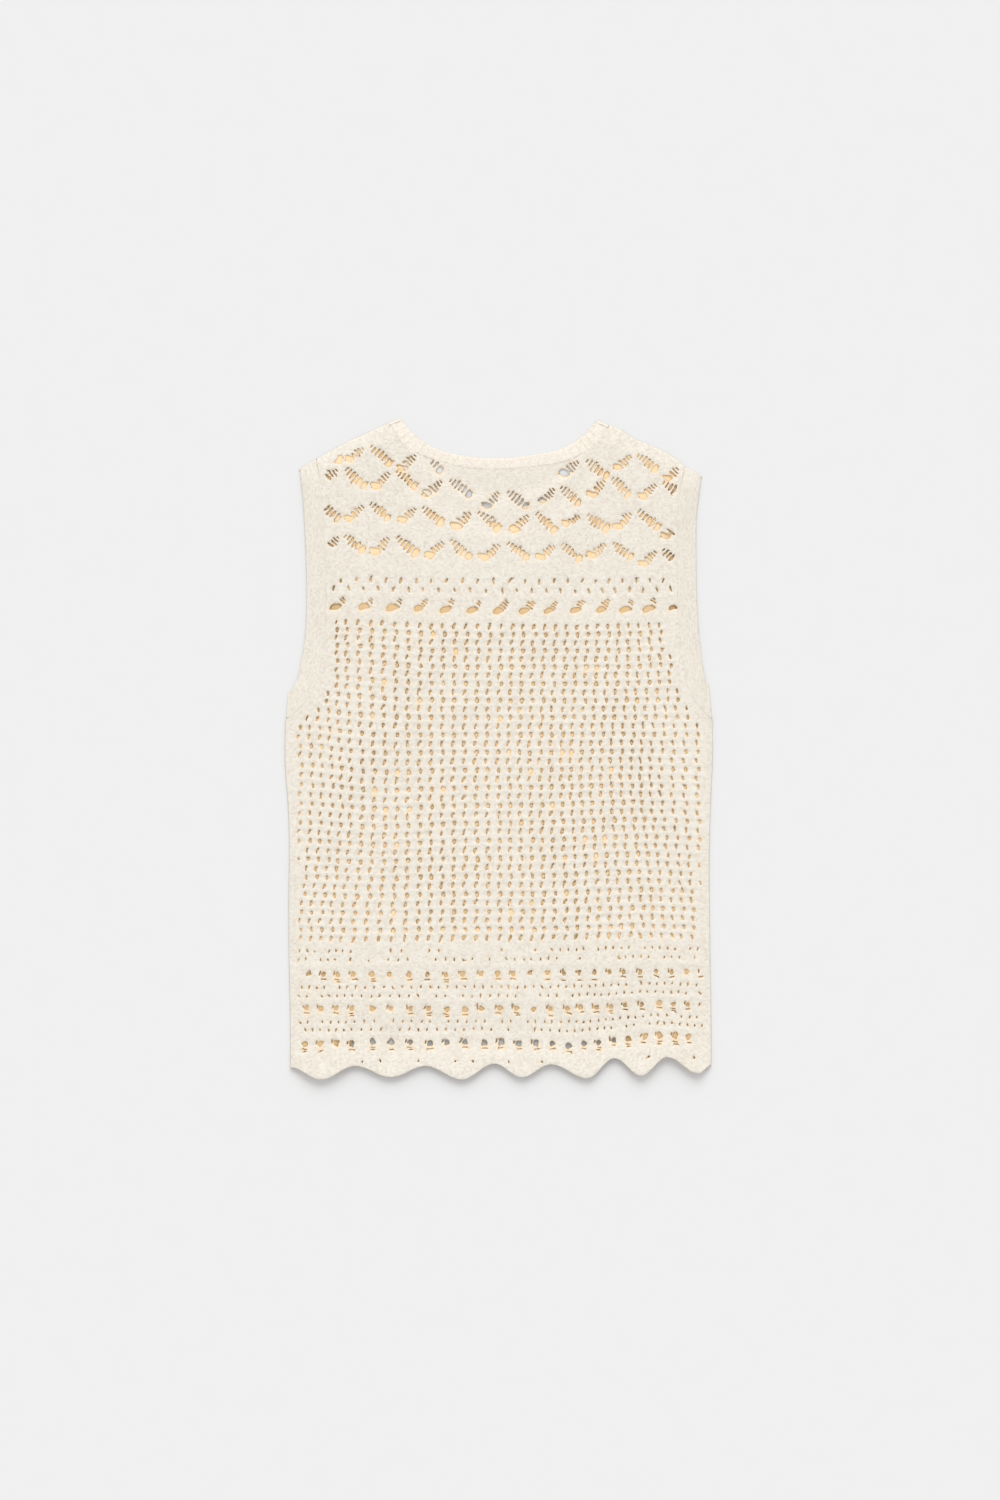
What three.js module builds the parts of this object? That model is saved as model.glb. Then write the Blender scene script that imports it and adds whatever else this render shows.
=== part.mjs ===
// A sleeveless knit top laid flat on its front, so that its back lies uppermost.
//
// Four kinds of piece make it: a back, a front, one neckband and two armhole bands. The front lies on the
// surface and the back lies on the front. The bands run round both: each is one loop that turns over at its
// two ends, at the shoulder seams and under the arms. The hem is scalloped.
//
// Millimetres. X runs across the garment, Y up its length and Z up from the surface. The tables give
// heights above the lowest scallop; the finished group is moved so that its origin is at the middle of the
// garment, on the surface.

import * as THREE from "three";

// Thicknesses and seams.
const CLOTH = 2; // one layer of knit
const SEAM_GAP = 0.3; // between one piece and the next
const EDGE_ROUND = 2; // width of the rounding along side and shoulder seams
const EDGE_CLOTH = 1; // cloth left at the very edge of that rounding
const MIDDLE = CLOTH + SEAM_GAP / 2; // height of the plane between the two layers

// Overall size and the plain widths.
const LENGTH = 594.6; // lowest scallop to the neck points
const ARMHOLE_BAND = 17;

// The side seams, measured out from the centre line to each side.
const SIDES = [
  { height: 0, left: 187.5, right: 191.2 },
  { height: 50, left: 187.5, right: 191.2 },
  { height: 110, left: 188.7, right: 190.2 },
  { height: 165, left: 189, right: 189.6 },
  { height: 205, left: 188.4, right: 189.6 },
  { height: 245, left: 189.4, right: 190.6 },
  { height: 285, left: 192.3, right: 192.3 },
  { height: 323, left: 192, right: 192.3 },
];

// The armhole seams, from the side seams up to the shoulders. The band stands out from each point of the
// seam by its width, at the angle of turn below the level line. The right shoulder lies lower, by tilt.
const ARMHOLES = [
  { height: 323, left: 192, right: 192.3, turn: 96, tilt: 0 },
  { height: 332.5, left: 179.5, right: 182, turn: 62, tilt: 0 },
  { height: 342, left: 172, right: 175, turn: 42, tilt: 0 },
  { height: 354, left: 165.2, right: 169.7, turn: 22, tilt: 0 },
  { height: 372, left: 160.7, right: 166.2, turn: 12, tilt: 0 },
  { height: 400, left: 156.7, right: 162.7, turn: 6, tilt: 0 },
  { height: 427, left: 155.5, right: 161.1, turn: 2, tilt: 0 },
  { height: 450, left: 155.6, right: 160.5, turn: 0, tilt: 0 },
  { height: 479, left: 156.4, right: 160.2, turn: 0, tilt: 0 },
  { height: 509, left: 158, right: 160.7, turn: -3, tilt: 1 },
  { height: 536, left: 160.3, right: 163.7, turn: -11, tilt: 3 },
  { height: 558, left: 164.2, right: 167.3, turn: -28, tilt: 6.5 },
];

// The shoulder seams between the armhole seams and the neckband.
const LEFT_SHOULDER = [
  { x: -164.2, height: 558 },
  { x: -136, height: 573 },
  { x: -98.7, height: 590.4 },
];
const RIGHT_SHOULDER = [
  { x: 98.9, height: 588.2 },
  { x: 109.5, height: 584.5 },
  { x: 120, height: 577 },
  { x: 153, height: 562.5 },
  { x: 167.3, height: 551.5 },
];

// The neckband: its seam to the panel and its free edge, from the left shoulder to the right.
const BACK_NECK = [
  { seamX: -98.7, seam: 590.4, edgeX: -88.4, edge: 594.6 },
  { seamX: -83, seam: 569, edgeX: -75, edge: 579 },
  { seamX: -58, seam: 557.7, edgeX: -55, edge: 566.5 },
  { seamX: -29, seam: 550.5, edgeX: -29, edge: 560.2 },
  { seamX: 1, seam: 549, edgeX: 1, edge: 558.4 },
  { seamX: 32, seam: 551.5, edgeX: 31, edge: 561.5 },
  { seamX: 61, seam: 556.5, edgeX: 58, edge: 567.5 },
  { seamX: 85, seam: 569.5, edgeX: 77, edge: 580 },
  { seamX: 98.9, seam: 588.2, edgeX: 88.5, edge: 592.6 },
];
const FRONT_NECK = [
  { seamX: -98.7, seam: 590.4, edgeX: -88.4, edge: 594.6 },
  { seamX: -93, seam: 568, edgeX: -82.5, edge: 572 },
  { seamX: -79, seam: 541, edgeX: -70, edge: 547.5 },
  { seamX: -50, seam: 516, edgeX: -44, edge: 525 },
  { seamX: 0, seam: 502, edgeX: 0, edge: 512 },
  { seamX: 50, seam: 515, edgeX: 44, edge: 524 },
  { seamX: 79, seam: 539, edgeX: 70, edge: 545.5 },
  { seamX: 93, seam: 566, edgeX: 82.5, edge: 570 },
  { seamX: 98.9, seam: 588.2, edgeX: 88.5, edge: 592.6 },
];

// The scalloped hem: the tip of each scallop and the notch between it and the next.
const HEM = [
  { x: -187.5, height: 11 },
  { x: -160, height: 0 },
  { x: -129, height: 12 },
  { x: -97, height: 2 },
  { x: -66, height: 12 },
  { x: -33, height: 0 },
  { x: -4, height: 14 },
  { x: 21, height: 2 },
  { x: 47, height: 13.5 },
  { x: 79.5, height: 1 },
  { x: 104, height: 19 },
  { x: 128, height: 3.5 },
  { x: 151.5, height: 20 },
  { x: 179.5, height: 5.5 },
  { x: 191.2, height: 12.5 },
];

// How much higher the front's hem lies than the back's, across its width.
const FRONT_RISE = [
  { x: -187.5, rise: 0 },
  { x: -150, rise: 0 },
  { x: -118, rise: 36 },
  { x: 100, rise: 36 },
  { x: 132, rise: 0 },
  { x: 191.2, rise: 0 },
];

// Soft ridges in the back: the middle of each, how far it leans from upright, its reach along and across
// its line, and how far it lifts.
const RIDGES = [
  { x: -122, height: 290, lean: 32, along: 110, across: 20, lift: 0.9 },
  { x: 128, height: 282, lean: -28, along: 100, across: 22, lift: 0.8 },
  { x: -58, height: 170, lean: 6, along: 120, across: 24, lift: 0.6 },
  { x: 66, height: 150, lean: -9, along: 105, across: 20, lift: 0.7 },
  { x: 12, height: 405, lean: 88, along: 95, across: 22, lift: 0.5 },
];
const RIDGE_MARGIN = 30; // ridges die away over this distance from the edges

// Where the grid of each panel has its rows, below the armholes.
const BACK_LEVELS = [0, 12, 30, 60, 95, 130, 165, 205, 245, 285];
const FRONT_LEVELS = [0, 16, 45, 90, 140, 190, 240, 285];
const HEM_REACH = 110; // the hem's waves fade out of the rows over this height
const TOP_REACH = 131; // and the shoulders' and neck's over this much below the highest row
const SHOULDER_STEPS = 8; // columns across one shoulder
const NECK_STEPS = 24; // columns, and sections of the neckband, across the neck
const ROUNDING_STEPS = [0.6, EDGE_ROUND]; // distances in from an edge that its rounding needs
const FOLD_ANGLES = [90, 45, 0, -45, -90]; // sections where a band turns over
const MOST_DRAWN_BACK = 0.6; // share of the way to the next section that a turn may start back

const radians = THREE.MathUtils.degToRad;
const { lerp, clamp } = THREE.MathUtils;

/** Reads one column of a table at a place between its rows. */
function read(table, keyColumn, key, column, ease = (share) => share) {
  const last = table.length - 1;
  const found = table.findIndex((row) => row[keyColumn] >= key);
  const above = clamp(found < 0 ? last : found, 1, last);
  const low = table[above - 1];
  const high = table[above];
  const share = (key - low[keyColumn]) / (high[keyColumn] - low[keyColumn]);
  return lerp(low[column], high[column], ease(clamp(share, 0, 1)));
}

/** A wave's way from a tip to a notch: level at both ends. */
function wave(share) {
  return (1 - Math.cos(Math.PI * share)) / 2;
}

/** A smooth curve through the points that two columns of a table give. */
function curveOf(table, xColumn, yColumn) {
  const points = table.map((row) => new THREE.Vector3(row[xColumn], row[yColumn], 0));
  return new THREE.CatmullRomCurve3(points, false, "centripetal");
}

/** Evenly spaced points along one shoulder seam. */
function shoulderPoints(table) {
  const start = table[0].x;
  const end = table[table.length - 1].x;
  return Array.from({ length: SHOULDER_STEPS + 1 }, (_, i) => {
    const x = lerp(start, end, i / SHOULDER_STEPS);
    return new THREE.Vector3(x, read(table, "x", x, "height"), 0);
  });
}

/** The top edge of a panel: left shoulder, neck seam and right shoulder, as one row of points. */
function topEdge(neckTable) {
  const neck = curveOf(neckTable, "seamX", "seam").getPoints(NECK_STEPS);
  return [
    ...shoulderPoints(LEFT_SHOULDER),
    ...neck.slice(1, NECK_STEPS),
    ...shoulderPoints(RIGHT_SHOULDER),
  ];
}

/** How far the rounded edge has dropped at a distance in from a side or shoulder seam. */
function edgeDrop(distance) {
  const run = clamp(EDGE_ROUND - distance, 0, EDGE_ROUND);
  return Math.min(CLOTH - EDGE_CLOTH, EDGE_ROUND - Math.sqrt(EDGE_ROUND ** 2 - run ** 2));
}

/** How far the soft ridges lift the back at a place. */
function ridgeLift(x, height) {
  return RIDGES.reduce((sum, ridge) => {
    const offset = new THREE.Vector2(x - ridge.x, height - ridge.height);
    offset.rotateAround(new THREE.Vector2(), radians(-ridge.lean));
    return sum + ridge.lift * Math.exp(-((offset.x / ridge.across) ** 2) - (offset.y / ridge.along) ** 2);
  }, 0);
}

/** The rows of a panel's grid, from the hem to the top edge: both ends and how far the edges' lines reach in. */
function panelRows(levels) {
  const highest = ARMHOLES[ARMHOLES.length - 1].height;
  const row = (height, table, tilt, below) => ({
    height,
    tilt,
    below,
    left: -read(table, "height", height - below, "left"),
    right: read(table, "height", height - below, "right"),
    hemShare: clamp(1 - height / HEM_REACH, 0, 1),
    topShare: clamp(1 - (highest - height) / TOP_REACH, 0, 1),
  });
  return [
    ...levels.map((height) => row(height, SIDES, 0, 0)),
    ...ARMHOLES.slice(0, -1).map(({ height, tilt }) => row(height, ARMHOLES, tilt, 0)),
    ...[...ROUNDING_STEPS].reverse().concat(0).map((below) =>
      row(highest, ARMHOLES, ARMHOLES[ARMHOLES.length - 1].tilt, below)),
  ];
}

/** The shares across a panel where its columns stand: those of its top edge, and the roundings at its sides. */
function panelColumns(top) {
  const start = top[0].x;
  const width = top[top.length - 1].x - start;
  const inner = top.slice(1, -1).map((point) => (point.x - start) / width);
  const roundings = ROUNDING_STEPS.map((distance) => distance / width);
  return [0, ...roundings, ...inner, ...roundings.map((share) => 1 - share).reverse(), 1];
}

/**
 * One panel as a closed wall. The panel lies on the layer's lower face; the back rounds over at its upper
 * face and the front at its lower one, so that the two meet half-way up at the side and shoulder seams.
 */
function panel({ neckTable, levels, rise, isBack }) {
  const top = topEdge(neckTable);
  const columns = panelColumns(top);
  const start = top[0].x;
  const width = top[top.length - 1].x - start;
  const shareOf = (point) => (point.x - start) / width;
  const neckFrom = shareOf(top[SHOULDER_STEPS]);
  const neckTo = shareOf(top[SHOULDER_STEPS + NECK_STEPS]);
  const topHeights = top.map((point) => ({ share: shareOf(point), height: point.y }));
  const hemWidth = HEM[HEM.length - 1].x - HEM[0].x;
  const underarm = ARMHOLES[0].height;
  const highest = ARMHOLES[ARMHOLES.length - 1];
  const base = isBack ? CLOTH + SEAM_GAP : 0;

  const grid = panelRows(levels).map((row) => columns.map((share) => {
    const hemX = HEM[0].x + share * hemWidth;
    const hem = read(HEM, "x", hemX, "height", wave) + (rise ? read(rise, "x", hemX, "rise", wave) : 0);
    const edge = read(topHeights, "share", share, "height");
    const straightTop = highest.height - highest.tilt * share;
    const height = row.height - row.tilt * share + hem * row.hemShare
      + (edge - straightTop) * row.topShare - row.below;
    const x = lerp(row.left, row.right, share);

    const fromSide = Math.min(share, 1 - share) * (row.right - row.left);
    const onShoulder = share <= neckFrom || share >= neckTo;
    const sideDrop = row.height <= underarm ? edgeDrop(fromSide) : 0;
    const shoulderDrop = onShoulder ? edgeDrop(edge - height) : 0;
    const drop = Math.max(sideDrop, shoulderDrop);

    const inFromEdge = Math.min(fromSide, height - hem, edge - height);
    const margin = clamp(inFromEdge / RIDGE_MARGIN, 0, 1);
    const lift = isBack ? ridgeLift(x, height) * wave(margin) : 0;
    return {
      x,
      y: height,
      upper: base + lift + CLOTH - (isBack ? drop : 0),
      lower: base + lift + (isBack ? 0 : drop),
    };
  }));
  return wallFromGrid(grid);
}

/** Closes a grid of points that each have an upper and a lower face into one wall. */
function wallFromGrid(grid) {
  const rows = grid.length;
  const columns = grid[0].length;
  const positions = [];
  for (const face of ["upper", "lower"]) {
    for (const row of grid) {
      for (const point of row) {
        positions.push(point.x, point.y, point[face]);
      }
    }
  }
  const upper = (r, c) => r * columns + c;
  const lower = (r, c) => upper(r, c) + rows * columns;
  const indices = [];
  const quad = (a, b, c, d) => indices.push(a, b, c, a, c, d);
  for (let r = 0; r < rows - 1; r += 1) {
    for (let c = 0; c < columns - 1; c += 1) {
      quad(upper(r, c), upper(r, c + 1), upper(r + 1, c + 1), upper(r + 1, c));
      quad(lower(r, c), lower(r + 1, c), lower(r + 1, c + 1), lower(r, c + 1));
    }
    quad(upper(r, 0), upper(r + 1, 0), lower(r + 1, 0), lower(r, 0));
    quad(upper(r + 1, columns - 1), upper(r, columns - 1), lower(r, columns - 1), lower(r + 1, columns - 1));
  }
  for (let c = 0; c < columns - 1; c += 1) {
    quad(upper(0, c + 1), upper(0, c), lower(0, c), lower(0, c + 1));
    quad(upper(rows - 1, c), upper(rows - 1, c + 1), lower(rows - 1, c + 1), lower(rows - 1, c));
  }
  return indexedGeometry(positions, indices);
}

/** A geometry from positions and triangle corners. */
function indexedGeometry(positions, indices) {
  const geometry = new THREE.BufferGeometry();
  geometry.setAttribute("position", new THREE.Float32BufferAttribute(positions, 3));
  geometry.setIndex(indices);
  geometry.computeVertexNormals();
  return geometry;
}

/** Sections across a band, in plan: free edges, and seams drawn back by the gap. */
function bandSections(edges, seams) {
  return edges.map((edge, i) => {
    const towardsEdge = edge.clone().sub(seams[i]).setLength(SEAM_GAP);
    return { edge, seam: seams[i].clone().add(towardsEdge) };
  });
}

/**
 * Where a band turns over: the direction in plan that it bulges towards, and the section where the turn
 * starts, which is drawn back from the fold line along the band's own edges.
 */
function foldOf(section, previous) {
  const line = section.edge.clone().sub(section.seam).normalize();
  const direction = new THREE.Vector3(-line.y, line.x, 0);
  const middleOf = ({ edge, seam }) => edge.clone().lerp(seam, 0.5);
  if (direction.dot(middleOf(section).sub(middleOf(previous))) < 0) {
    direction.negate();
  }
  const drawnBack = (end) => {
    const way = previous[end].clone().sub(section[end]);
    const reach = Math.max(-way.dot(direction), MIDDLE / MOST_DRAWN_BACK);
    return section[end].clone().addScaledVector(way, MIDDLE / reach);
  };
  return { direction, section: { edge: drawnBack("edge"), seam: drawnBack("seam") } };
}

/**
 * A band that goes round the garment as one closed loop: its back half over its front half, joined where it
 * turns over at both ends. Both lists of sections run from the first fold to the second.
 */
function foldedBand(backSections, frontSections) {
  const last = backSections.length - 1;
  const firstFold = foldOf(backSections[0], backSections[1]);
  const lastFold = foldOf(backSections[last], backSections[last - 1]);
  const level = new THREE.Vector3();
  const stations = [
    ...backSections.slice(1, last).map((section) => ({ section, direction: level, angle: 90 })),
    ...FOLD_ANGLES.map((angle) => ({ ...lastFold, angle })),
    ...frontSections.slice(1, last).reverse().map((section) => ({ section, direction: level, angle: -90 })),
    ...[...FOLD_ANGLES].reverse().map((angle) => ({ ...firstFold, angle })),
  ];
  const inner = MIDDLE - CLOTH;
  const rings = stations.map(({ section, direction, angle }) => {
    const point = (share, radius) => {
      const reach = radius * Math.cos(radians(angle));
      const plan = section.edge.clone().lerp(section.seam, share).addScaledVector(direction, reach);
      return new THREE.Vector3(plan.x, plan.y, MIDDLE + radius * Math.sin(radians(angle)));
    };
    return [
      point(0, MIDDLE), point(0.5, MIDDLE), point(1, MIDDLE),
      point(1, inner), point(0.5, inner), point(0, inner),
    ];
  });
  return closedLoop(rings);
}

/** Joins rings of points, each to the next and the last to the first, into one closed surface facing out. */
function closedLoop(rings) {
  const size = rings[0].length;
  const indices = [];
  rings.forEach((_, r) => {
    const next = (r + 1) % rings.length;
    for (let c = 0; c < size; c += 1) {
      const d = (c + 1) % size;
      indices.push(r * size + c, r * size + d, next * size + d);
      indices.push(r * size + c, next * size + d, next * size + c);
    }
  });
  const points = rings.flat();
  let volume = 0;
  for (let i = 0; i < indices.length; i += 3) {
    const [a, b, c] = indices.slice(i, i + 3).map((index) => points[index]);
    volume += a.dot(b.clone().cross(c));
  }
  if (volume < 0) {
    indices.reverse();
  }
  return indexedGeometry(points.flatMap((point) => point.toArray()), indices);
}

/** The sections of one half of the neckband. */
function neckSections(table) {
  const edges = curveOf(table, "edgeX", "edge").getPoints(NECK_STEPS);
  const seams = curveOf(table, "seamX", "seam").getPoints(NECK_STEPS);
  return bandSections(edges, seams);
}

/** The sections of one armhole band, from the underarm to the shoulder; side is -1 left and 1 right. */
function armholeSections(side) {
  const seams = ARMHOLES.map(({ height, left, right, tilt }) => (side > 0
    ? new THREE.Vector3(right, height - tilt, 0)
    : new THREE.Vector3(-left, height, 0)));
  const edges = ARMHOLES.map(({ turn }, i) => {
    const out = new THREE.Vector3(side * Math.cos(radians(turn)), Math.sin(radians(turn)), 0);
    return seams[i].clone().addScaledVector(out, ARMHOLE_BAND);
  });
  return bandSections(edges, seams);
}

/** A named piece of the garment. */
function piece(name, geometry, color) {
  const material = new THREE.MeshStandardMaterial({ color, roughness: 0.92, metalness: 0 });
  const mesh = new THREE.Mesh(geometry, material);
  mesh.name = name;
  return mesh;
}

const CREAM = 0xeee6d8;
const WARM_CREAM = 0xefe7da;
const SHADED_CREAM = 0xe2d4bb;

const garment = new THREE.Group();
garment.position.y = -LENGTH / 2;

garment.add(
  piece("back_panel", panel({ neckTable: BACK_NECK, levels: BACK_LEVELS, isBack: true }), CREAM),
  piece(
    "front_panel",
    panel({ neckTable: FRONT_NECK, levels: FRONT_LEVELS, rise: FRONT_RISE, isBack: false }),
    SHADED_CREAM,
  ),
  piece("neckband", foldedBand(neckSections(BACK_NECK), neckSections(FRONT_NECK)), WARM_CREAM),
);
for (const [name, side] of [["armhole_band_left", -1], ["armhole_band_right", 1]]) {
  const sections = armholeSections(side);
  garment.add(piece(name, foldedBand(sections, sections), CREAM));
}

export default garment;
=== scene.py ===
"""A sleeveless knit top in openwork stitches, laid flat on its front so that its back lies uppermost.

The cut and the lace are worked out in plan, in millimetres: x runs across the garment from its centre line,
and heights are measured up from the lowest scallop of the hem. Meshes are made from the plan in metres, in
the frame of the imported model. Each panel is a thin shell whose lace openings are real holes with rounded
rims; the stitches between them are in the finish.
"""

import logging
import math
import random
from collections.abc import Iterator, Sequence
from dataclasses import dataclass, field, replace
from enum import Enum, IntEnum
from typing import Any, NamedTuple

import bpy
import numpy as np
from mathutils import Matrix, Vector, noise
from mathutils.geometry import delaunay_2d_cdt
from mathutils.kdtree import KDTree


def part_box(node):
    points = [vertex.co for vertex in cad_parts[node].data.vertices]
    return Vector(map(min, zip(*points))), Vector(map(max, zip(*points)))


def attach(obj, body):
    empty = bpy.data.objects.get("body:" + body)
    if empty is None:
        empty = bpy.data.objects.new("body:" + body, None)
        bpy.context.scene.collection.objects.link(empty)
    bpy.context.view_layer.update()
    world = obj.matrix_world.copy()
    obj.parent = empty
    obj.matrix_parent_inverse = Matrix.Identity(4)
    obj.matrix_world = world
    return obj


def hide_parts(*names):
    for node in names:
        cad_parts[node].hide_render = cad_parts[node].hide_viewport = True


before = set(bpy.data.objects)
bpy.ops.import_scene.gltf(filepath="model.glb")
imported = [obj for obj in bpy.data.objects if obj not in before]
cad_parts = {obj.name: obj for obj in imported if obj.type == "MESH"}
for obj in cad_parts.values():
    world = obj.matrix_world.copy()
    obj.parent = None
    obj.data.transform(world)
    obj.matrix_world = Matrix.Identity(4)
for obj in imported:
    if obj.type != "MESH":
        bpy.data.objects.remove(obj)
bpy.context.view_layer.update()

log = logging.getLogger("knit_top")

MM = 0.001
HEM_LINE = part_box("back_panel")[0][1]  # where the lowest scallop lies in the frame

# Thicknesses, in millimetres.
CLOTH = 2.0
SEAM_GAP = 0.3
MIDDLE = CLOTH + SEAM_GAP / 2  # height of the plane between the two layers
ARMHOLE_BAND = 17.0
BACK_TOP = 2 * CLOTH + SEAM_GAP
PARTING = 3.55  # the front's cloth swells up into the back's openings, to this height

# One stitch of the fine gauge.
WALE = 2.0
COURSE = 1.7
RIB_STITCHES = 3  # in one rib of the neckband


class Layer(Enum):
    """Which of the two layers a panel is."""

    BACK = "back"
    FRONT = "front"


class Edge(IntEnum):
    """The kinds of edge that a panel has."""

    HEM = 0
    SIDE = 1
    ARMHOLE = 2
    SHOULDER = 3
    NECK = 4


class SideRow(NamedTuple):
    """Both side seams at one height, measured out from the centre line."""

    height: float
    left: float
    right: float


class ArmholeRow(NamedTuple):
    """Both armhole seams at one height.

    The band stands out from them at the angle of turn, and the right seam lies lower by tilt.
    """

    height: float
    left: float
    right: float
    turn: float
    tilt: float


class Place(NamedTuple):
    """A point of the plan."""

    x: float
    height: float


class NeckRow(NamedTuple):
    """A section of the neckband: its seam to the panel and its free edge."""

    seam_x: float
    seam: float
    edge_x: float
    edge: float


class Rise(NamedTuple):
    """How much higher the front's hem lies than the back's at one place across."""

    x: float
    rise: float


class Ridge(NamedTuple):
    """A soft ridge: its middle, its lean from upright, its reach along and across its line, and its lift."""

    x: float
    height: float
    lean: float
    along: float
    across: float
    lift: float


class Welt(NamedTuple):
    """A thin raised line across the cloth: its height up the garment, half its breadth, and its lift."""

    height: float
    reach: float
    lift: float


class Drift(NamedTuple):
    """Where the cloth was eased when it was laid: a place, the reach of the easing, and how far it moved."""

    x: float
    height: float
    reach_x: float
    reach_height: float
    right: float
    up: float


class Step(NamedTuple):
    """Where one repeat of a row of lace lies: its number from the centre line and its place across."""

    number: float
    x: float


class Slot(NamedTuple):
    """One slot of a fan: how far along the fan it lies and how far aside, its size, and its own turn."""

    along: float
    aside: float
    length: float
    width: float
    turn: float = 0.0
    taper: float = 0.0


class ChevronRow(NamedTuple):
    """A row of arches in the yoke: the height of its points at the sides, and how far it sags in the middle.

    No arch comes nearer to the centre line than bare.
    """

    height: float
    sag: float
    bare: float = 0.0


class Tone(NamedTuple):
    """How much deeper the painted shade inside the openings is at one height up the garment."""

    height: float
    deeper: float


SIDES = (
    SideRow(0, 187.5, 191.2),
    SideRow(50, 187.5, 191.2),
    SideRow(110, 188.7, 190.2),
    SideRow(165, 189, 189.6),
    SideRow(205, 188.4, 189.6),
    SideRow(245, 189.4, 190.6),
    SideRow(285, 192.3, 192.3),
    SideRow(323, 192, 192.3),
)
ARMHOLES = (
    ArmholeRow(323, 192, 192.3, 96, 0),
    ArmholeRow(332.5, 179.5, 182, 62, 0),
    ArmholeRow(342, 172, 175, 42, 0),
    ArmholeRow(354, 165.2, 169.7, 22, 0),
    ArmholeRow(372, 160.7, 166.2, 12, 0),
    ArmholeRow(400, 156.7, 162.7, 6, 0),
    ArmholeRow(427, 155.5, 161.1, 2, 0),
    ArmholeRow(450, 155.6, 160.5, 0, 0),
    ArmholeRow(479, 156.4, 160.2, 0, 0),
    ArmholeRow(509, 158, 160.7, -3, 1),
    ArmholeRow(536, 160.3, 163.7, -11, 3),
    ArmholeRow(558, 164.2, 167.3, -28, 6.5),
)
LEFT_SHOULDER = (Place(-164.2, 558), Place(-136, 573), Place(-98.7, 590.4))
RIGHT_SHOULDER = (
    Place(98.9, 588.2),
    Place(109.5, 584.5),
    Place(120, 577),
    Place(153, 562.5),
    Place(167.3, 551.5),
)
BACK_NECK = (
    NeckRow(-98.7, 590.4, -88.4, 594.6),
    NeckRow(-83, 569, -75, 579),
    NeckRow(-58, 557.7, -55, 566.5),
    NeckRow(-29, 550.5, -29, 560.2),
    NeckRow(1, 549, 1, 558.4),
    NeckRow(32, 551.5, 31, 561.5),
    NeckRow(61, 556.5, 58, 567.5),
    NeckRow(85, 569.5, 77, 580),
    NeckRow(98.9, 588.2, 88.5, 592.6),
)
FRONT_NECK = (
    NeckRow(-98.7, 590.4, -88.4, 594.6),
    NeckRow(-93, 568, -82.5, 572),
    NeckRow(-79, 541, -70, 547.5),
    NeckRow(-50, 516, -44, 525),
    NeckRow(0, 502, 0, 512),
    NeckRow(50, 515, 44, 524),
    NeckRow(79, 539, 70, 545.5),
    NeckRow(93, 566, 82.5, 570),
    NeckRow(98.9, 588.2, 88.5, 592.6),
)
HEM = (
    Place(-187.5, 11),
    Place(-160, 0),
    Place(-129, 12),
    Place(-97, 2),
    Place(-66, 12),
    Place(-33, 0),
    Place(-4, 14),
    Place(21, 2),
    Place(47, 13.5),
    Place(79.5, 1),
    Place(104, 19),
    Place(128, 3.5),
    Place(151.5, 20),
    Place(179.5, 5.5),
    Place(191.2, 12.5),
)
FRONT_RISE = (Rise(-187.5, 0), Rise(-150, 0), Rise(-118, 36), Rise(100, 36), Rise(132, 0), Rise(191.2, 0))
# painted shade: the openings' insides are painted darker at these heights
PAINTED_SHADE_TONES = (
    Tone(20, 0.3),
    Tone(50, 0.36),
    Tone(105, 0.36),
    Tone(122, 0.2),
    Tone(132, 0),
    Tone(408, 0),
    Tone(416, 0.3),
    Tone(428, 0.3),
    Tone(440, 0.22),
    Tone(460, 0.2),
)
CHEVRON_ROWS = (
    ChevronRow(486, 3),
    ChevronRow(515, 5),
    ChevronRow(546, 17),
    ChevronRow(567, 24, 40),
)
YOKE_FOOT = ChevronRow(455, 0)
YOKE_TOP = ChevronRow(590, 27)
ARCH_MIDDLE = 1.2  # where the arches' rows are centred
ARCH_PITCH = 24.6  # half a repeat of the arches
GROUND_FOOT = 124.0  # the open ground of the body lies between these heights
GROUND_TOP = 412.0
STRAND_FOOT = 430.0  # above this height, the cloth between openings is in thin strands
PRESSED = 0.55  # the layers lie this much flatter at the sides, the shoulders and the bands' free edges
PRESSED_REACH = 16.0
SINK_BESIDE = 1.3  # the back sinks by this much on its way to the front's neck and hem
SINK_BEYOND = 1.4  # and by this much more past its neckband
BESIDE = 24.0  # width of the way to the front's neck and hem
BEYOND = 14.0  # and of the way past the neckband
NO_NECK = 620.0  # a height above the whole garment, read where there is no neckline
RISE_REACH = 160.0  # the front's rise fades out over this height

RIDGES = (
    Ridge(-122, 290, 32, 110, 20, 0.9),
    Ridge(128, 282, -28, 100, 22, 0.8),
    Ridge(-58, 170, 6, 120, 24, 0.6),
    Ridge(66, 150, -9, 105, 20, 0.7),
    Ridge(12, 405, 88, 95, 22, 0.5),
    Ridge(106, 60, 2, 34, 2.4, 0.35),
    Ridge(-24, 335, 74, 60, 6.0, 0.3),
    Ridge(-96, 372, -38, 46, 5.0, 0.3),
    Ridge(84, 214, 24, 58, 6.0, 0.3),
)
RIDGE_MARGIN = 30.0
WELTS = (
    Welt(124.6, 1.4, 0.3),
    Welt(102.2, 1.5, 0.35),
    Welt(70.4, 1.5, 0.35),
    Welt(39.4, 1.5, 0.35),
    Welt(434.0, 1.8, 0.3),
    Welt(453.5, 1.2, 0.2),
    Welt(6.0, 4.0, 0.2),
)
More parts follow.
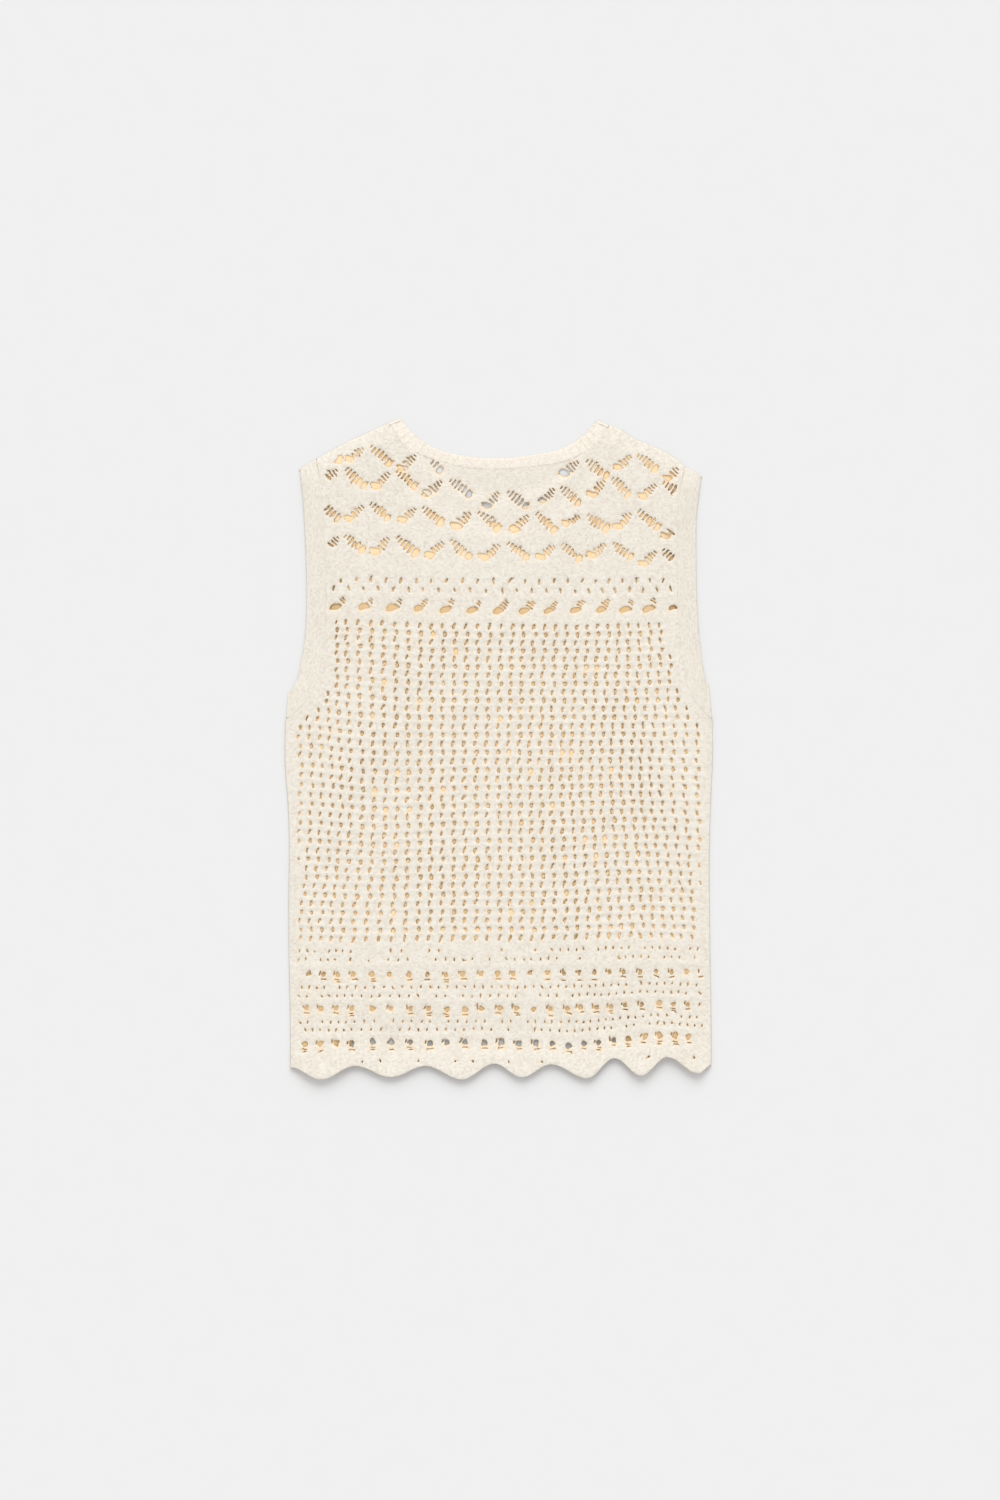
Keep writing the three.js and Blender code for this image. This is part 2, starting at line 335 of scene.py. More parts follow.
DRIFTS = (
    Drift(-150, 262, 60, 65, 4.6, 0),
    Drift(130, 275, 85, 60, -6.5, 0),
    Drift(45, 430, 95, 45, 2.4, -1.3),
    Drift(-70, 395, 90, 40, 0.9, 0),
    Drift(140, 140, 80, 35, 3.6, 0),
    Drift(-135, 140, 50, 32, -4.4, 0),
    Drift(40, 93, 110, 16, -1.5, 0.6),
    Drift(90, 30, 110, 22, 2.6, 0),
    Drift(-160, 32, 35, 30, -2.4, -1.0),
    Drift(62, 30, 28, 20, 0, -2.5),
    Drift(-112, 205, 45, 75, 0, -2.8),
    Drift(-90, 250, 50, 50, 0, -1.5),
    Drift(-135, 370, 50, 60, 0, 4.4),
    Drift(-178, 320, 34, 62, 0, 6.5),
    Drift(160, 380, 35, 45, 0, 2.0),
    Drift(125, 185, 60, 90, 0, 4.0),
    Drift(145, 40, 45, 45, 0, 5.5),
    Drift(150, 262, 20, 55, -2.2, 0),
    Drift(187, 262, 14, 55, 2.6, 0),
    Drift(-174, 268, 22, 45, 1.7, 0),
    Drift(-174, 143, 20, 22, -3.0, 0),
    Drift(-120, 113, 28, 9, -2.3, 0),
    Drift(6, 297, 35, 22, -1.4, 0),
    Drift(150, 380, 24, 22, 2.0, 0),
    Drift(6, 421, 80, 9, -1.4, 0),
    Drift(42, 94, 70, 8, -1.2, 0),
    Drift(-138, 63, 22, 9, -1.8, 0),
    Drift(150, 63, 20, 9, 2.0, 0),
    Drift(136, 33, 24, 10, 1.8, 0.6),
    Drift(24, 508, 48, 56, 3.9, 0),
    Drift(75, 508, 22, 16, 0, -3.0),
)


def numbers(table: Sequence[NamedTuple], *names: str) -> np.ndarray:
    """Some columns of a table.

    Args:
        table: rows with named columns.
        names: the columns wanted.

    Returns:
        One row of numbers for each row of the table.
    """
    return np.array([[getattr(row, name) for name in names] for row in table], float)


def smooth_step(share: np.ndarray) -> np.ndarray:
    """A wave's way from 0 to 1, level at both ends."""
    return (1 - np.cos(np.pi * np.clip(share, 0, 1))) / 2


def wave_through(table: Sequence[NamedTuple], x: np.ndarray, column: str) -> np.ndarray:
    """Reads a table of tips and notches as a wave that is level at each of them.

    Args:
        table: rows with an x column.
        x: where to read it.
        column: the column to read.

    Returns:
        The wave's value at each x.
    """
    places, values = numbers(table, "x", column).T
    right = np.clip(np.searchsorted(places, x), 1, len(places) - 1)
    share = (x - places[right - 1]) / (places[right] - places[right - 1])
    return values[right - 1] + (values[right] - values[right - 1]) * smooth_step(share)


def curve_through(points: np.ndarray, per_span: int = 24) -> np.ndarray:
    """A centripetal Catmull-Rom curve.

    Args:
        points: the points that it passes through.
        per_span: how many steps it takes from one to the next.

    Returns:
        The curve's points.
    """
    ends = np.vstack([2 * points[0] - points[1], points, 2 * points[-1] - points[-2]])
    made = []
    for p0, p1, p2, p3 in zip(ends, ends[1:], ends[2:], ends[3:]):
        t1 = np.linalg.norm(p1 - p0) ** 0.5
        t2 = t1 + np.linalg.norm(p2 - p1) ** 0.5
        t3 = t2 + np.linalg.norm(p3 - p2) ** 0.5
        t = np.linspace(t1, t2, per_span, endpoint=False)[:, None]
        a1 = (t1 - t) / t1 * p0 + t / t1 * p1
        a2 = (t2 - t) / (t2 - t1) * p1 + (t - t1) / (t2 - t1) * p2
        a3 = (t3 - t) / (t3 - t2) * p2 + (t - t2) / (t3 - t2) * p3
        b1 = (t2 - t) / t2 * a1 + t / t2 * a2
        b2 = (t3 - t) / (t3 - t1) * a2 + (t - t1) / (t3 - t1) * a3
        made.append((t2 - t) / (t2 - t1) * b1 + (t - t1) / (t2 - t1) * b2)
    return np.vstack([*made, points[-1:]])


def lengths_along(points: np.ndarray) -> np.ndarray:
    """The distance along a line of points to each of them."""
    steps = np.linalg.norm(np.diff(points, axis=0), axis=1)
    return np.concatenate([[0.0], np.cumsum(steps)])


def even_steps(points: np.ndarray, step: float) -> np.ndarray:
    """A line of points, walked again in even steps of about a given length.

    Args:
        points: the line.
        step: the length wanted.

    Returns:
        The line's new points, from end to end.
    """
    along = lengths_along(points)
    count = max(2, round(along[-1] / step) + 1)
    wanted = np.linspace(0, along[-1], count)
    return np.column_stack([np.interp(wanted, along, points[:, k]) for k in range(points.shape[1])])


def eased(points: np.ndarray) -> np.ndarray:
    """Moves plan points as the cloth was eased when it was laid.

    Args:
        points: points of the plan.

    Returns:
        Where they lie.
    """
    moved = points.copy()
    for drift in DRIFTS:
        away = ((points - (drift.x, drift.height)) / (drift.reach_x, drift.reach_height)) ** 2
        moved += np.exp(-away.sum(axis=1))[:, None] * np.array([drift.right, drift.up])
    return moved


def sag_depth(height: np.ndarray) -> np.ndarray:
    """How far the rows of the yoke sag in the middle, by their height."""
    heights, sags = numbers((YOKE_FOOT, *CHEVRON_ROWS, YOKE_TOP), "height", "sag").T
    return np.interp(height, heights, sags)


def sag_share(x: np.ndarray) -> np.ndarray:
    """How much of the yoke's sag there is across the garment."""
    return np.exp(-(((x - 8) / 62) ** 2))


def pressed(distance: np.ndarray) -> np.ndarray:
    """How far the layers are pressed flat at a distance from an edge, as a share of their height."""
    return 1 - PRESSED * np.clip(1 - distance / PRESSED_REACH, 0, 1) ** 1.5


def sunk(points: np.ndarray) -> np.ndarray:
    """How far the back sinks towards the front's neck and raised hem, past which nothing lies below it.

    Args:
        points: points of the plan.

    Returns:
        How far the back sinks at each, in millimetres.
    """
    x, height = points.T
    edge_x, edge = numbers(FRONT_NECK, "edge_x", "edge").T
    seam_x, seam = numbers(FRONT_NECK, "seam_x", "seam").T
    past_seam = height - np.interp(x, seam_x, seam, left=NO_NECK, right=NO_NECK)
    past_edge = height - np.interp(x, edge_x, edge, left=NO_NECK, right=NO_NECK)
    past_hem = wave_through(HEM, x, "height") + wave_through(FRONT_RISE, x, "rise") - height
    raised = smooth_step(wave_through(FRONT_RISE, x, "rise") / 30)
    beside = np.maximum(smooth_step(past_seam / BESIDE + 1), raised * smooth_step(past_hem / BESIDE + 1))
    return SINK_BESIDE * beside + SINK_BEYOND * smooth_step(past_edge / BEYOND)


# --- lace -----------------------------------------------------------------------------------------------


@dataclass(frozen=True)
class Opening:
    """An opening in the lace.

    Its line is upright at lean 0 and leans right as lean grows, in degrees. Taper narrows its upper end,
    bow bends its line to one side, and corners draw its rim out to a few blunt points, turned by phase.
    """

    x: float
    height: float
    length: float
    width: float
    lean: float = 0.0
    taper: float = 0.0
    bow: float = 0.0
    corners: float = 0.0
    phase: float = 0.0

    def outline(self, count: int, grow: float = 0.0, turn: float = 0.0) -> np.ndarray:
        """Points round the opening.

        Args:
            count: how many.
            grow: how far outside the opening they lie.
            turn: where they start, as a share of the step between two.

        Returns:
            The points, anticlockwise.
        """
        even = (np.arange(count) + turn) * math.tau / count
        angle = even + 0.3 * (1 - min(1, self.width / self.length)) * np.sin(2 * even)
        lobes = np.cos(3 * angle + self.phase) + 0.8 * np.cos(4 * angle - 2 * self.phase)
        reach = 1 + self.corners * lobes
        half = self.length / 2
        along = np.cos(angle) * (half * reach + grow)
        side = -np.sin(angle) * (self.width / 2 * reach + grow) * (1 - self.taper * np.cos(angle))
        side = side + self.bow * (1 - (along / half) ** 2)
        lean = math.radians(self.lean)
        x = along * math.sin(lean) + side * math.cos(lean)
        height = along * math.cos(lean) - side * math.sin(lean)
        return np.column_stack([self.x + x, self.height + height])


def place_across(steps: Sequence[Step], number: float) -> float:
    """Where a repeat lies across the garment, from a table of some of them.

    Args:
        steps: the table.
        number: the repeat's number, with fractions between two.

    Returns:
        Its place, from the centre line.
    """
    known, places = numbers(steps, "number", "x").T
    low = np.clip(np.searchsorted(known, number) - 1, 0, len(known) - 2)
    slope = (places[low + 1] - places[low]) / (known[low + 1] - known[low])
    return float(places[low] + (number - known[low]) * slope)


@dataclass(frozen=True)
class Ground:
    """The open ground of the body: rows of small upright openings, each second row leaning."""

    steps: tuple[Step, ...] = (
        Step(-18, -183.5),
        Step(-13, -138),
        Step(-7, -72.5),
        Step(0, 0),
        Step(6, 58.5),
        Step(13, 125),
        Step(19, 180.3),
    )
    rows: int = 37
    lowest: float = 126.9
    pitch: float = 7.8
    swell: float = 3.1  # the middle rows lie a little higher than even steps would put them
    lean: float = 17.0
    lean_at_right: float = -14.0
    leaning_size: tuple[float, float] = (5.4, 2.2)
    upright_size: tuple[float, float] = (4.9, 2.9)
    offset: float = 1.6  # upright rows lie this far to the right of leaning ones

    def height(self, row: float) -> float:
        """The height of a row, counted from the lowest."""
        share = row / (self.rows - 1)
        return self.lowest + self.pitch * row + self.swell * math.sin(math.pi * min(1, abs(share) ** 1.5))

    def row_at(self, height: np.ndarray) -> np.ndarray:
        """The number of the row at a height, with fractions between rows."""
        level = (height - self.lowest) / self.pitch
        share = np.clip(level / (self.rows - 1), 0, 1)
        return level - self.swell / self.pitch * np.sin(math.pi * share**1.5)

    def openings(self, draw: random.Random, shift: float) -> Iterator[Opening]:
        """The openings.

        Args:
            draw: for their unevenness.
            shift: how many repeats to move them by, across and up.

        Yields:
            Each opening.
        """
        first, last = round(self.steps[0].number), round(self.steps[-1].number)
        for row in range(self.rows):
            leaning = row % 2 == 0
            length, width = self.leaning_size if leaning else self.upright_size
            for number in range(first, last + 1):
                x = place_across(self.steps, number + shift) + (0 if leaning else self.offset)
                edge = smooth_step(np.array((x - 50) / 115))
                lean = self.lean + (self.lean_at_right - self.lean) * float(edge)
                size = 1 - 0.16 * float(smooth_step(np.array((abs(x) - 105) / 70)))
                yield Opening(
                    x + draw.gauss(0, 0.28),
                    self.height(row + shift) + draw.gauss(0, 0.28),
                    length * size * draw.uniform(0.82, 1.12),
                    width * size * draw.uniform(0.72, 1.2),
                    (lean if leaning else lean * 0.1 - 3) + draw.gauss(0, 6),
                    draw.uniform(-0.25, 0.25),
                    draw.uniform(-0.2, 0.2),
                    draw.uniform(0.03, 0.13),
                    draw.uniform(0, math.tau),
                )


@dataclass(frozen=True)
class EyeletRow:
    """A row of large eyelets, each with a slit beside it and ladder bars below."""

    height: float
    size: tuple[float, float]  # height and width of the eyelet
    bars: int
    steps: tuple[Step, ...] = (
        Step(-12, -186),
        Step(-8, -131),
        Step(-4, -64),
        Step(0, 0.5),
        Step(4, 60),
        Step(8, 113),
        Step(13, 182),
    )
    slit_size: tuple[float, float] = (4.4, 1.3)
    bar_size: tuple[float, float] = (4.6, 0.9)

    def openings(self, draw: random.Random, shift: float) -> Iterator[Opening]:
        """The row's openings.

        Args:
            draw: for their unevenness.
            shift: how many repeats to move them by.

        Yields:
            Each opening.
        """
        first, last = round(self.steps[0].number), round(self.steps[-1].number)
        for number in range(first, last + 1):
            x = place_across(self.steps, number + shift) + draw.gauss(0, 0.5)
            pitch = place_across(self.steps, number + 0.5) - place_across(self.steps, number - 0.5)
            fit = min(1.0, pitch / 16.0)
            height = self.height + draw.gauss(0, 0.45)
            tall = self.size[0] * draw.uniform(0.8, 1.12)
            wide = self.size[1] * fit * draw.uniform(0.72, 1.12)
            lean = draw.gauss(12, 16)
            taper = draw.uniform(-0.3, 0.15)
            corners, phase = draw.uniform(0.08, 0.17), draw.uniform(0, math.tau)
            yield Opening(x + 0.9, height, tall, wide, lean, taper, 0, corners, phase)
            if draw.random() < 0.75:
                slit = x + 0.9 - wide / 2 - 1.6
                length = self.slit_size[0] * draw.uniform(0.6, 1.1)
                tilt = draw.gauss(6, 9)
                yield Opening(slit, height + 1.2, length, self.slit_size[1], tilt, 0, 0.3, 0.08, phase)
            for bar in range(self.bars):
                wide_bar = self.bar_size[0] * fit * (1 - 0.25 * bar) * draw.uniform(0.7, 1.15)
                low = height - tall / 2 - 1.6 - 1.9 * bar
                tilt = 90 + draw.gauss(0, 9)
                if draw.random() < 0.6 - 0.3 * bar:
                    middle = x + 1.0 + draw.gauss(0, 0.5)
                    yield Opening(middle, low, wide_bar, self.bar_size[1], tilt, 0, 0.5)


@dataclass(frozen=True)
class SlitRow:
    """A row of small slits at a regular pitch."""

    height: float
    length: float
    width: float
    steps: tuple[Step, ...]
    offset: float = 0.0
    lean: float = 0.0
    missing: float = 0.0

    def openings(self, draw: random.Random, shift: float) -> Iterator[Opening]:
        """The row's openings.

        Args:
            draw: for their unevenness.
            shift: how many repeats to move them by.

        Yields:
            Each opening.
        """
        first, last = round(self.steps[0].number), round(self.steps[-1].number)
        for number in range(first, last + 1):
            x = place_across(self.steps, number + self.offset + shift) + draw.gauss(0, 0.3)
            opening = Opening(
                x,
                self.height + draw.gauss(0, 0.35),
                self.length * draw.uniform(0.65, 1.15),
                self.width * draw.uniform(0.75, 1.25),
                self.lean + draw.gauss(0, 11),
                draw.uniform(-0.3, 0.3),
                draw.uniform(-0.25, 0.25),
                draw.uniform(0.02, 0.12),
                draw.uniform(0, math.tau),
            )
            if draw.random() >= self.missing:
                yield opening


HALF_LACE_STEPS = tuple(Step(2 * step.number, step.x) for step in EyeletRow.steps)
YOKE_SLIT_STEPS = (Step(-11, -148.5), Step(-5, -68.5), Step(0, 0.5), Step(5, 66), Step(12, 154))


@dataclass(frozen=True)
class Fan:
    """Slots side by side, like the gaps between the ribs of a fan.

    They follow one another along a line that leans right of upright by bearing, in degrees, and each lies
    square across that line, bowed a little away from the fan's point.
    """

    bearing: float
    slots: tuple[Slot, ...]
    bow: float = 0.08
    unevenness: float = 3.0  # of the slots' lean, in degrees

    def openings(self, draw: random.Random, x: float, height: float) -> Iterator[Opening]:
        """The slots.

        Args:
            draw: for their unevenness.
            x: the fan's point, across.
            height: the fan's point, up.

        Yields:
            Each slot as an opening.
        """
        size = draw.uniform(0.92, 1.05)
        bearing = self.bearing + draw.gauss(0, self.unevenness)
        across, up = math.sin(math.radians(bearing)), math.cos(math.radians(bearing))
        lean = (bearing + 180) % 180 - 90
        for slot in self.slots:
            along, aside = slot.along * size, slot.aside * size + draw.gauss(0, 0.4)
            yield Opening(
                x + along * across + aside * up,
                height + along * up - aside * across,
                slot.length * size * draw.uniform(0.78, 1.12),
                slot.width * size * draw.uniform(0.82, 1.12),
                lean + slot.turn + draw.gauss(0, self.unevenness * 0.6),
                slot.taper,
                math.copysign(self.bow * slot.length, across * math.cos(math.radians(lean))),
                draw.uniform(0.03, 0.1),
                draw.uniform(0, math.tau),
            )


@dataclass(frozen=True)
class LeafRow:
    """A row of slanting leaves: a broad opening low on the left and slots up to the right."""

    height: float = 421.0
    first: float = -147.0
    pitch: float = 24.9
    tightening: float = 0.131  # each pitch is this much shorter than the last, twice over
    leaves: int = 14
    leaf: Fan = Fan(
        36.0,
        (
            Slot(1.8, 0.4, 10.4, 5.4, -50, -0.3),
            Slot(6.7, 0.6, 6.8, 1.8),
            Slot(9.4, 0.4, 5.4, 1.5),
            Slot(11.8, 0.2, 3.4, 1.2),
        ),
    )

    def openings(self, draw: random.Random, shift: float) -> Iterator[Opening]:
        """The row's openings.

        Args:
            draw: for their unevenness.
            shift: how many repeats to move them by.

        Yields:
            Each opening.
        """
        for leaf in range(self.leaves):
            number = leaf + shift
            x = self.first + self.pitch * number - self.tightening * number**2
            yield from self.leaf.openings(draw, x + draw.gauss(0, 0.4), self.height + draw.gauss(0, 0.5))


@dataclass(frozen=True)
class Chevrons:
    """The yoke's lace: rows of arches, each a left and a right fan, half a repeat apart row by row."""

    rows: tuple[ChevronRow, ...] = CHEVRON_ROWS
    middle: float = ARCH_MIDDLE
    pitch: float = ARCH_PITCH
    tightening: float = 0.022  # the pitch shortens towards the sides
    reach: int = 7  # arches on each side of the middle
    tilt: float = 0.03  # the rows fall this much to the right
    drop: float = 15.0  # the front's rows lie lower by this much
    right_drop: float = 8.0  # and every row falls away by this much beyond right_from
    right_from: float = 120.0
    right_width: float = 45.0
    left_fan: Fan = Fan(
        -129.0,
        (
            Slot(4.6, 0.0, 3.6, 1.2),
            Slot(7.5, -0.3, 6.0, 1.6),
            Slot(10.5, -0.5, 7.2, 1.9),
            Slot(14.0, -0.6, 7.6, 2.5, -12),
            Slot(20.0, 0.1, 10.0, 6.0, -34, 0.1),
        ),
    )
    right_fan: Fan = Fan(
        127.0,
        (
            Slot(4.2, -1.6, 3.6, 1.3),
            Slot(7.6, -1.4, 6.2, 1.8),
            Slot(11.2, -1.2, 7.8, 2.2),
            Slot(15.0, -0.9, 8.4, 2.7),
            Slot(19.0, -0.7, 8.2, 3.1),
            Slot(24.4, -0.6, 8.8, 5.2, -10, 0.15),
        ),
    )

    def openings(self, draw: random.Random, shift: float) -> Iterator[Opening]:
        """The openings of all rows.

        Args:
            draw: for their unevenness.
            shift: any but 0 puts them between the other panel's.

        Yields:
            Each opening.
        """
        for index, row in enumerate(self.rows):
            for number in range(-self.reach, self.reach + 1):
                if (number + index) % 2:
                    continue
                x = self.middle + self.pitch * number - self.tightening * number**3
                if abs(x) < row.bare:
                    continue
                height = row.height - row.sag * float(sag_share(np.array(x))) - self.tilt * x
                fall = float(smooth_step(np.array((x - self.right_from) / self.right_width)))
                height -= self.right_drop * fall + (self.drop if shift else 0)
                for fan in (self.left_fan, self.right_fan):
                    yield from fan.openings(draw, x, height + draw.gauss(0, 0.5))


LACE = (
    EyeletRow(33.2, (5.8, 5.6), 2),
    EyeletRow(63.5, (4.6, 4.7), 2),
    EyeletRow(94.2, (5.0, 4.2), 2),
    SlitRow(16.0, 2.2, 1.2, EyeletRow.steps, offset=0.5, missing=0.5),
    SlitRow(44.6, 2.6, 1.1, HALF_LACE_STEPS, missing=0.1),
    SlitRow(51.8, 2.8, 1.1, HALF_LACE_STEPS, offset=0.3, missing=0.1),
    SlitRow(74.8, 2.6, 1.1, HALF_LACE_STEPS, missing=0.1),
    SlitRow(82.6, 2.8, 1.2, HALF_LACE_STEPS, offset=0.3, missing=0.1),
    SlitRow(107.5, 2.4, 1.1, HALF_LACE_STEPS, missing=0.3),
    SlitRow(115.5, 2.6, 1.2, HALF_LACE_STEPS, offset=0.3, missing=0.45),
    Ground(),
    LeafRow(),
    SlitRow(440.2, 4.8, 1.7, YOKE_SLIT_STEPS, offset=0.0, lean=-6),
    SlitRow(448.6, 5.0, 1.7, YOKE_SLIT_STEPS, offset=0.5, lean=9),
    Chevrons(),
)


# --- the cut --------------------------------------------------------------------------------------------


@dataclass
class Cut:
    """The plan of one panel as it lies."""

    layer: Layer
    step: float = 1.6  # between two points of the outline
    hem_stitch: float = 2.1  # width of an edge stitch of the hem
    per_stitch: int = 4  # points of the outline on each of them
    hem_knob: float = 0.6  # how far the hem's edge stitches stand out
    side_knob: float = 0.2

    def neck(self) -> tuple[NeckRow, ...]:
        """The table of this panel's neck."""
        return BACK_NECK if self.layer is Layer.BACK else FRONT_NECK

    def hem_height(self, x: np.ndarray) -> np.ndarray:
        """The height of this panel's hem across the garment."""
        height = wave_through(HEM, x, "height")
        return height if self.layer is Layer.BACK else height + wave_through(FRONT_RISE, x, "rise")

    def raised(self, x: np.ndarray) -> np.ndarray:
        """Where across the garment the front's hem lies higher than the back's."""
        return wave_through(FRONT_RISE, x, "rise") > 1

    def laid(self, points: np.ndarray) -> np.ndarray:
        """Moves plan points of the lace to where they lie on this panel.

        Args:
            points: points of the lace's plan.

        Returns:
            Where they lie on the panel.
        """
        moved = eased(points)
        if self.layer is Layer.FRONT:
            fade = np.clip(1 - points[:, 1] / RISE_REACH, 0, 1)
            moved[:, 1] += wave_through(FRONT_RISE, points[:, 0], "rise") * fade
        return moved

    def runs(self) -> list[tuple[Edge, np.ndarray]]:
        """The runs of edge round the panel, anticlockwise from the left end of the hem.

        Returns:
            The kind of each run, and its points.
        """
        hem_x = np.linspace(HEM[0].x, HEM[-1].x, 260)
        hem = np.column_stack([hem_x, self.hem_height(hem_x)])
        sides = numbers(SIDES, "height", "left", "right")
        right_side = np.column_stack([sides[:, 2], sides[:, 0]])
        right_side[0] = hem[-1]
        left_side = np.column_stack([-sides[:, 1], sides[:, 0]])
        left_side[0] = hem[0]
        right_armhole, left_armhole = (armhole_seam(side) for side in (1, -1))
        neck = curve_through(numbers(self.neck(), "seam_x", "seam"))
        return [
            (Edge.HEM, hem),
            (Edge.SIDE, curve_through(right_side)),
            (Edge.ARMHOLE, right_armhole),
            (Edge.SHOULDER, curve_through(numbers(RIGHT_SHOULDER, "x", "height"))[::-1]),
            (Edge.NECK, neck[::-1]),
            (Edge.SHOULDER, curve_through(numbers(LEFT_SHOULDER, "x", "height"))[::-1]),
            (Edge.ARMHOLE, left_armhole[::-1]),
            (Edge.SIDE, curve_through(left_side)[::-1]),
        ]

    def outline(self) -> tuple[np.ndarray, np.ndarray]:
        """The outline as one closed loop of points, and the kind of edge that each is on.

        Returns:
            The points, and the kind of edge that each is on.
        """
        draw = np.random.default_rng(5)
        points, kinds = [], []
        for kind, run in self.runs():
            walked = even_steps(run, self.hem_stitch / self.per_stitch if kind is Edge.HEM else self.step)
            if kind in (Edge.HEM, Edge.SIDE):
                steps = np.gradient(walked, axis=0)
                outward = np.column_stack([steps[:, 1], -steps[:, 0]])
                outward /= np.linalg.norm(steps, axis=1)[:, None]
                if kind is Edge.HEM:
                    stitch = np.arange(len(walked)) // self.per_stitch
                    swell = (1 - np.cos(np.arange(len(walked)) * math.tau / self.per_stitch)) / 2
                    knobs = self.hem_knob * swell * draw.uniform(0.5, 1.2, stitch[-1] + 1)[stitch]
                else:
                    knobs = draw.uniform(-0.5, 0.5, len(walked)) * self.side_knob
                knobs[[0, -1]] = 0
                walked = walked + outward * knobs[:, None]
            points.append(walked[:-1])
            kinds += [kind] * (len(walked) - 1)
        return np.vstack(points), np.array(kinds)


def armhole_seam(side: int) -> np.ndarray:
    """The armhole seam from the underarm to the shoulder.

    Args:
        side: -1 for the left and 1 for the right.

    Returns:
        The seam's points.
    """
    rows = numbers(ARMHOLES, "height", "left", "right", "tilt")
    height = rows[:, 0] - (rows[:, 3] if side > 0 else 0)
    x = rows[:, 2] if side > 0 else -rows[:, 1]
    return curve_through(np.column_stack([x, height]))


def armhole_edge(side: int) -> np.ndarray:
    """The armhole band's free edge, point for point beside its seam.

    Args:
        side: -1 for the left and 1 for the right.

    Returns:
        The edge's points.
    """
    rows = numbers(ARMHOLES, "height", "left", "right", "turn", "tilt")
    turn = np.radians(rows[:, 3])
    height = rows[:, 0] - (rows[:, 4] if side > 0 else 0) + ARMHOLE_BAND * np.sin(turn)
    x = side * (rows[:, 2] if side > 0 else rows[:, 1]) + side * ARMHOLE_BAND * np.cos(turn)
    return curve_through(np.column_stack([x, height]))


def nearest(to: np.ndarray, points: np.ndarray) -> np.ndarray:
    """The distance from each point to the nearest of some others.

    Args:
        to: the others.
        points: the points.

    Returns:
        A distance for each point.
    """
    tree = KDTree(len(to))
    for index, (x, height) in enumerate(to):
        tree.insert((x, height, 0), index)
    tree.balance()
    return np.array([tree.find((x, height, 0))[2] for x, height in points])


def inside(loop: np.ndarray, points: np.ndarray) -> np.ndarray:
    """Which points lie inside a closed loop.

    Args:
        loop: the loop's points.
        points: the points to test.

    Returns:
        True for each that lies inside.
    """
    found = np.zeros(len(points), bool)
    for (x1, y1), (x2, y2) in zip(loop, np.roll(loop, -1, axis=0)):
        if y1 == y2:
            continue
        crosses = (y1 > points[:, 1]) != (y2 > points[:, 1])
        at = x1 + (points[:, 1] - y1) / (y2 - y1) * (x2 - x1)
        found ^= crosses & (points[:, 0] < at)
    return found


# --- finishes -------------------------------------------------------------------------------------------


class Value:
    """A shader socket that stands in Python expressions."""

    def __init__(self, shader: "Shader", socket: bpy.types.NodeSocket) -> None:
        """Wraps a socket of a shader."""
        self.shader = shader
        self.socket = socket

    def __add__(self, other: "Value | float") -> "Value":
        """The sum."""
        return self.shader.math("ADD", self, other)

    def __sub__(self, other: "Value | float") -> "Value":
        """The difference."""
        return self.shader.math("SUBTRACT", self, other)

    def __rsub__(self, other: float) -> "Value":
        """The difference, from a number."""
        return self.shader.math("SUBTRACT", other, self)

    def __mul__(self, other: "Value | float") -> "Value":
        """The product."""
        return self.shader.math("MULTIPLY", self, other)

    def __pow__(self, other: float) -> "Value":
        """The power."""
        return self.shader.math("POWER", self, other)

    __radd__ = __add__
    __rmul__ = __mul__


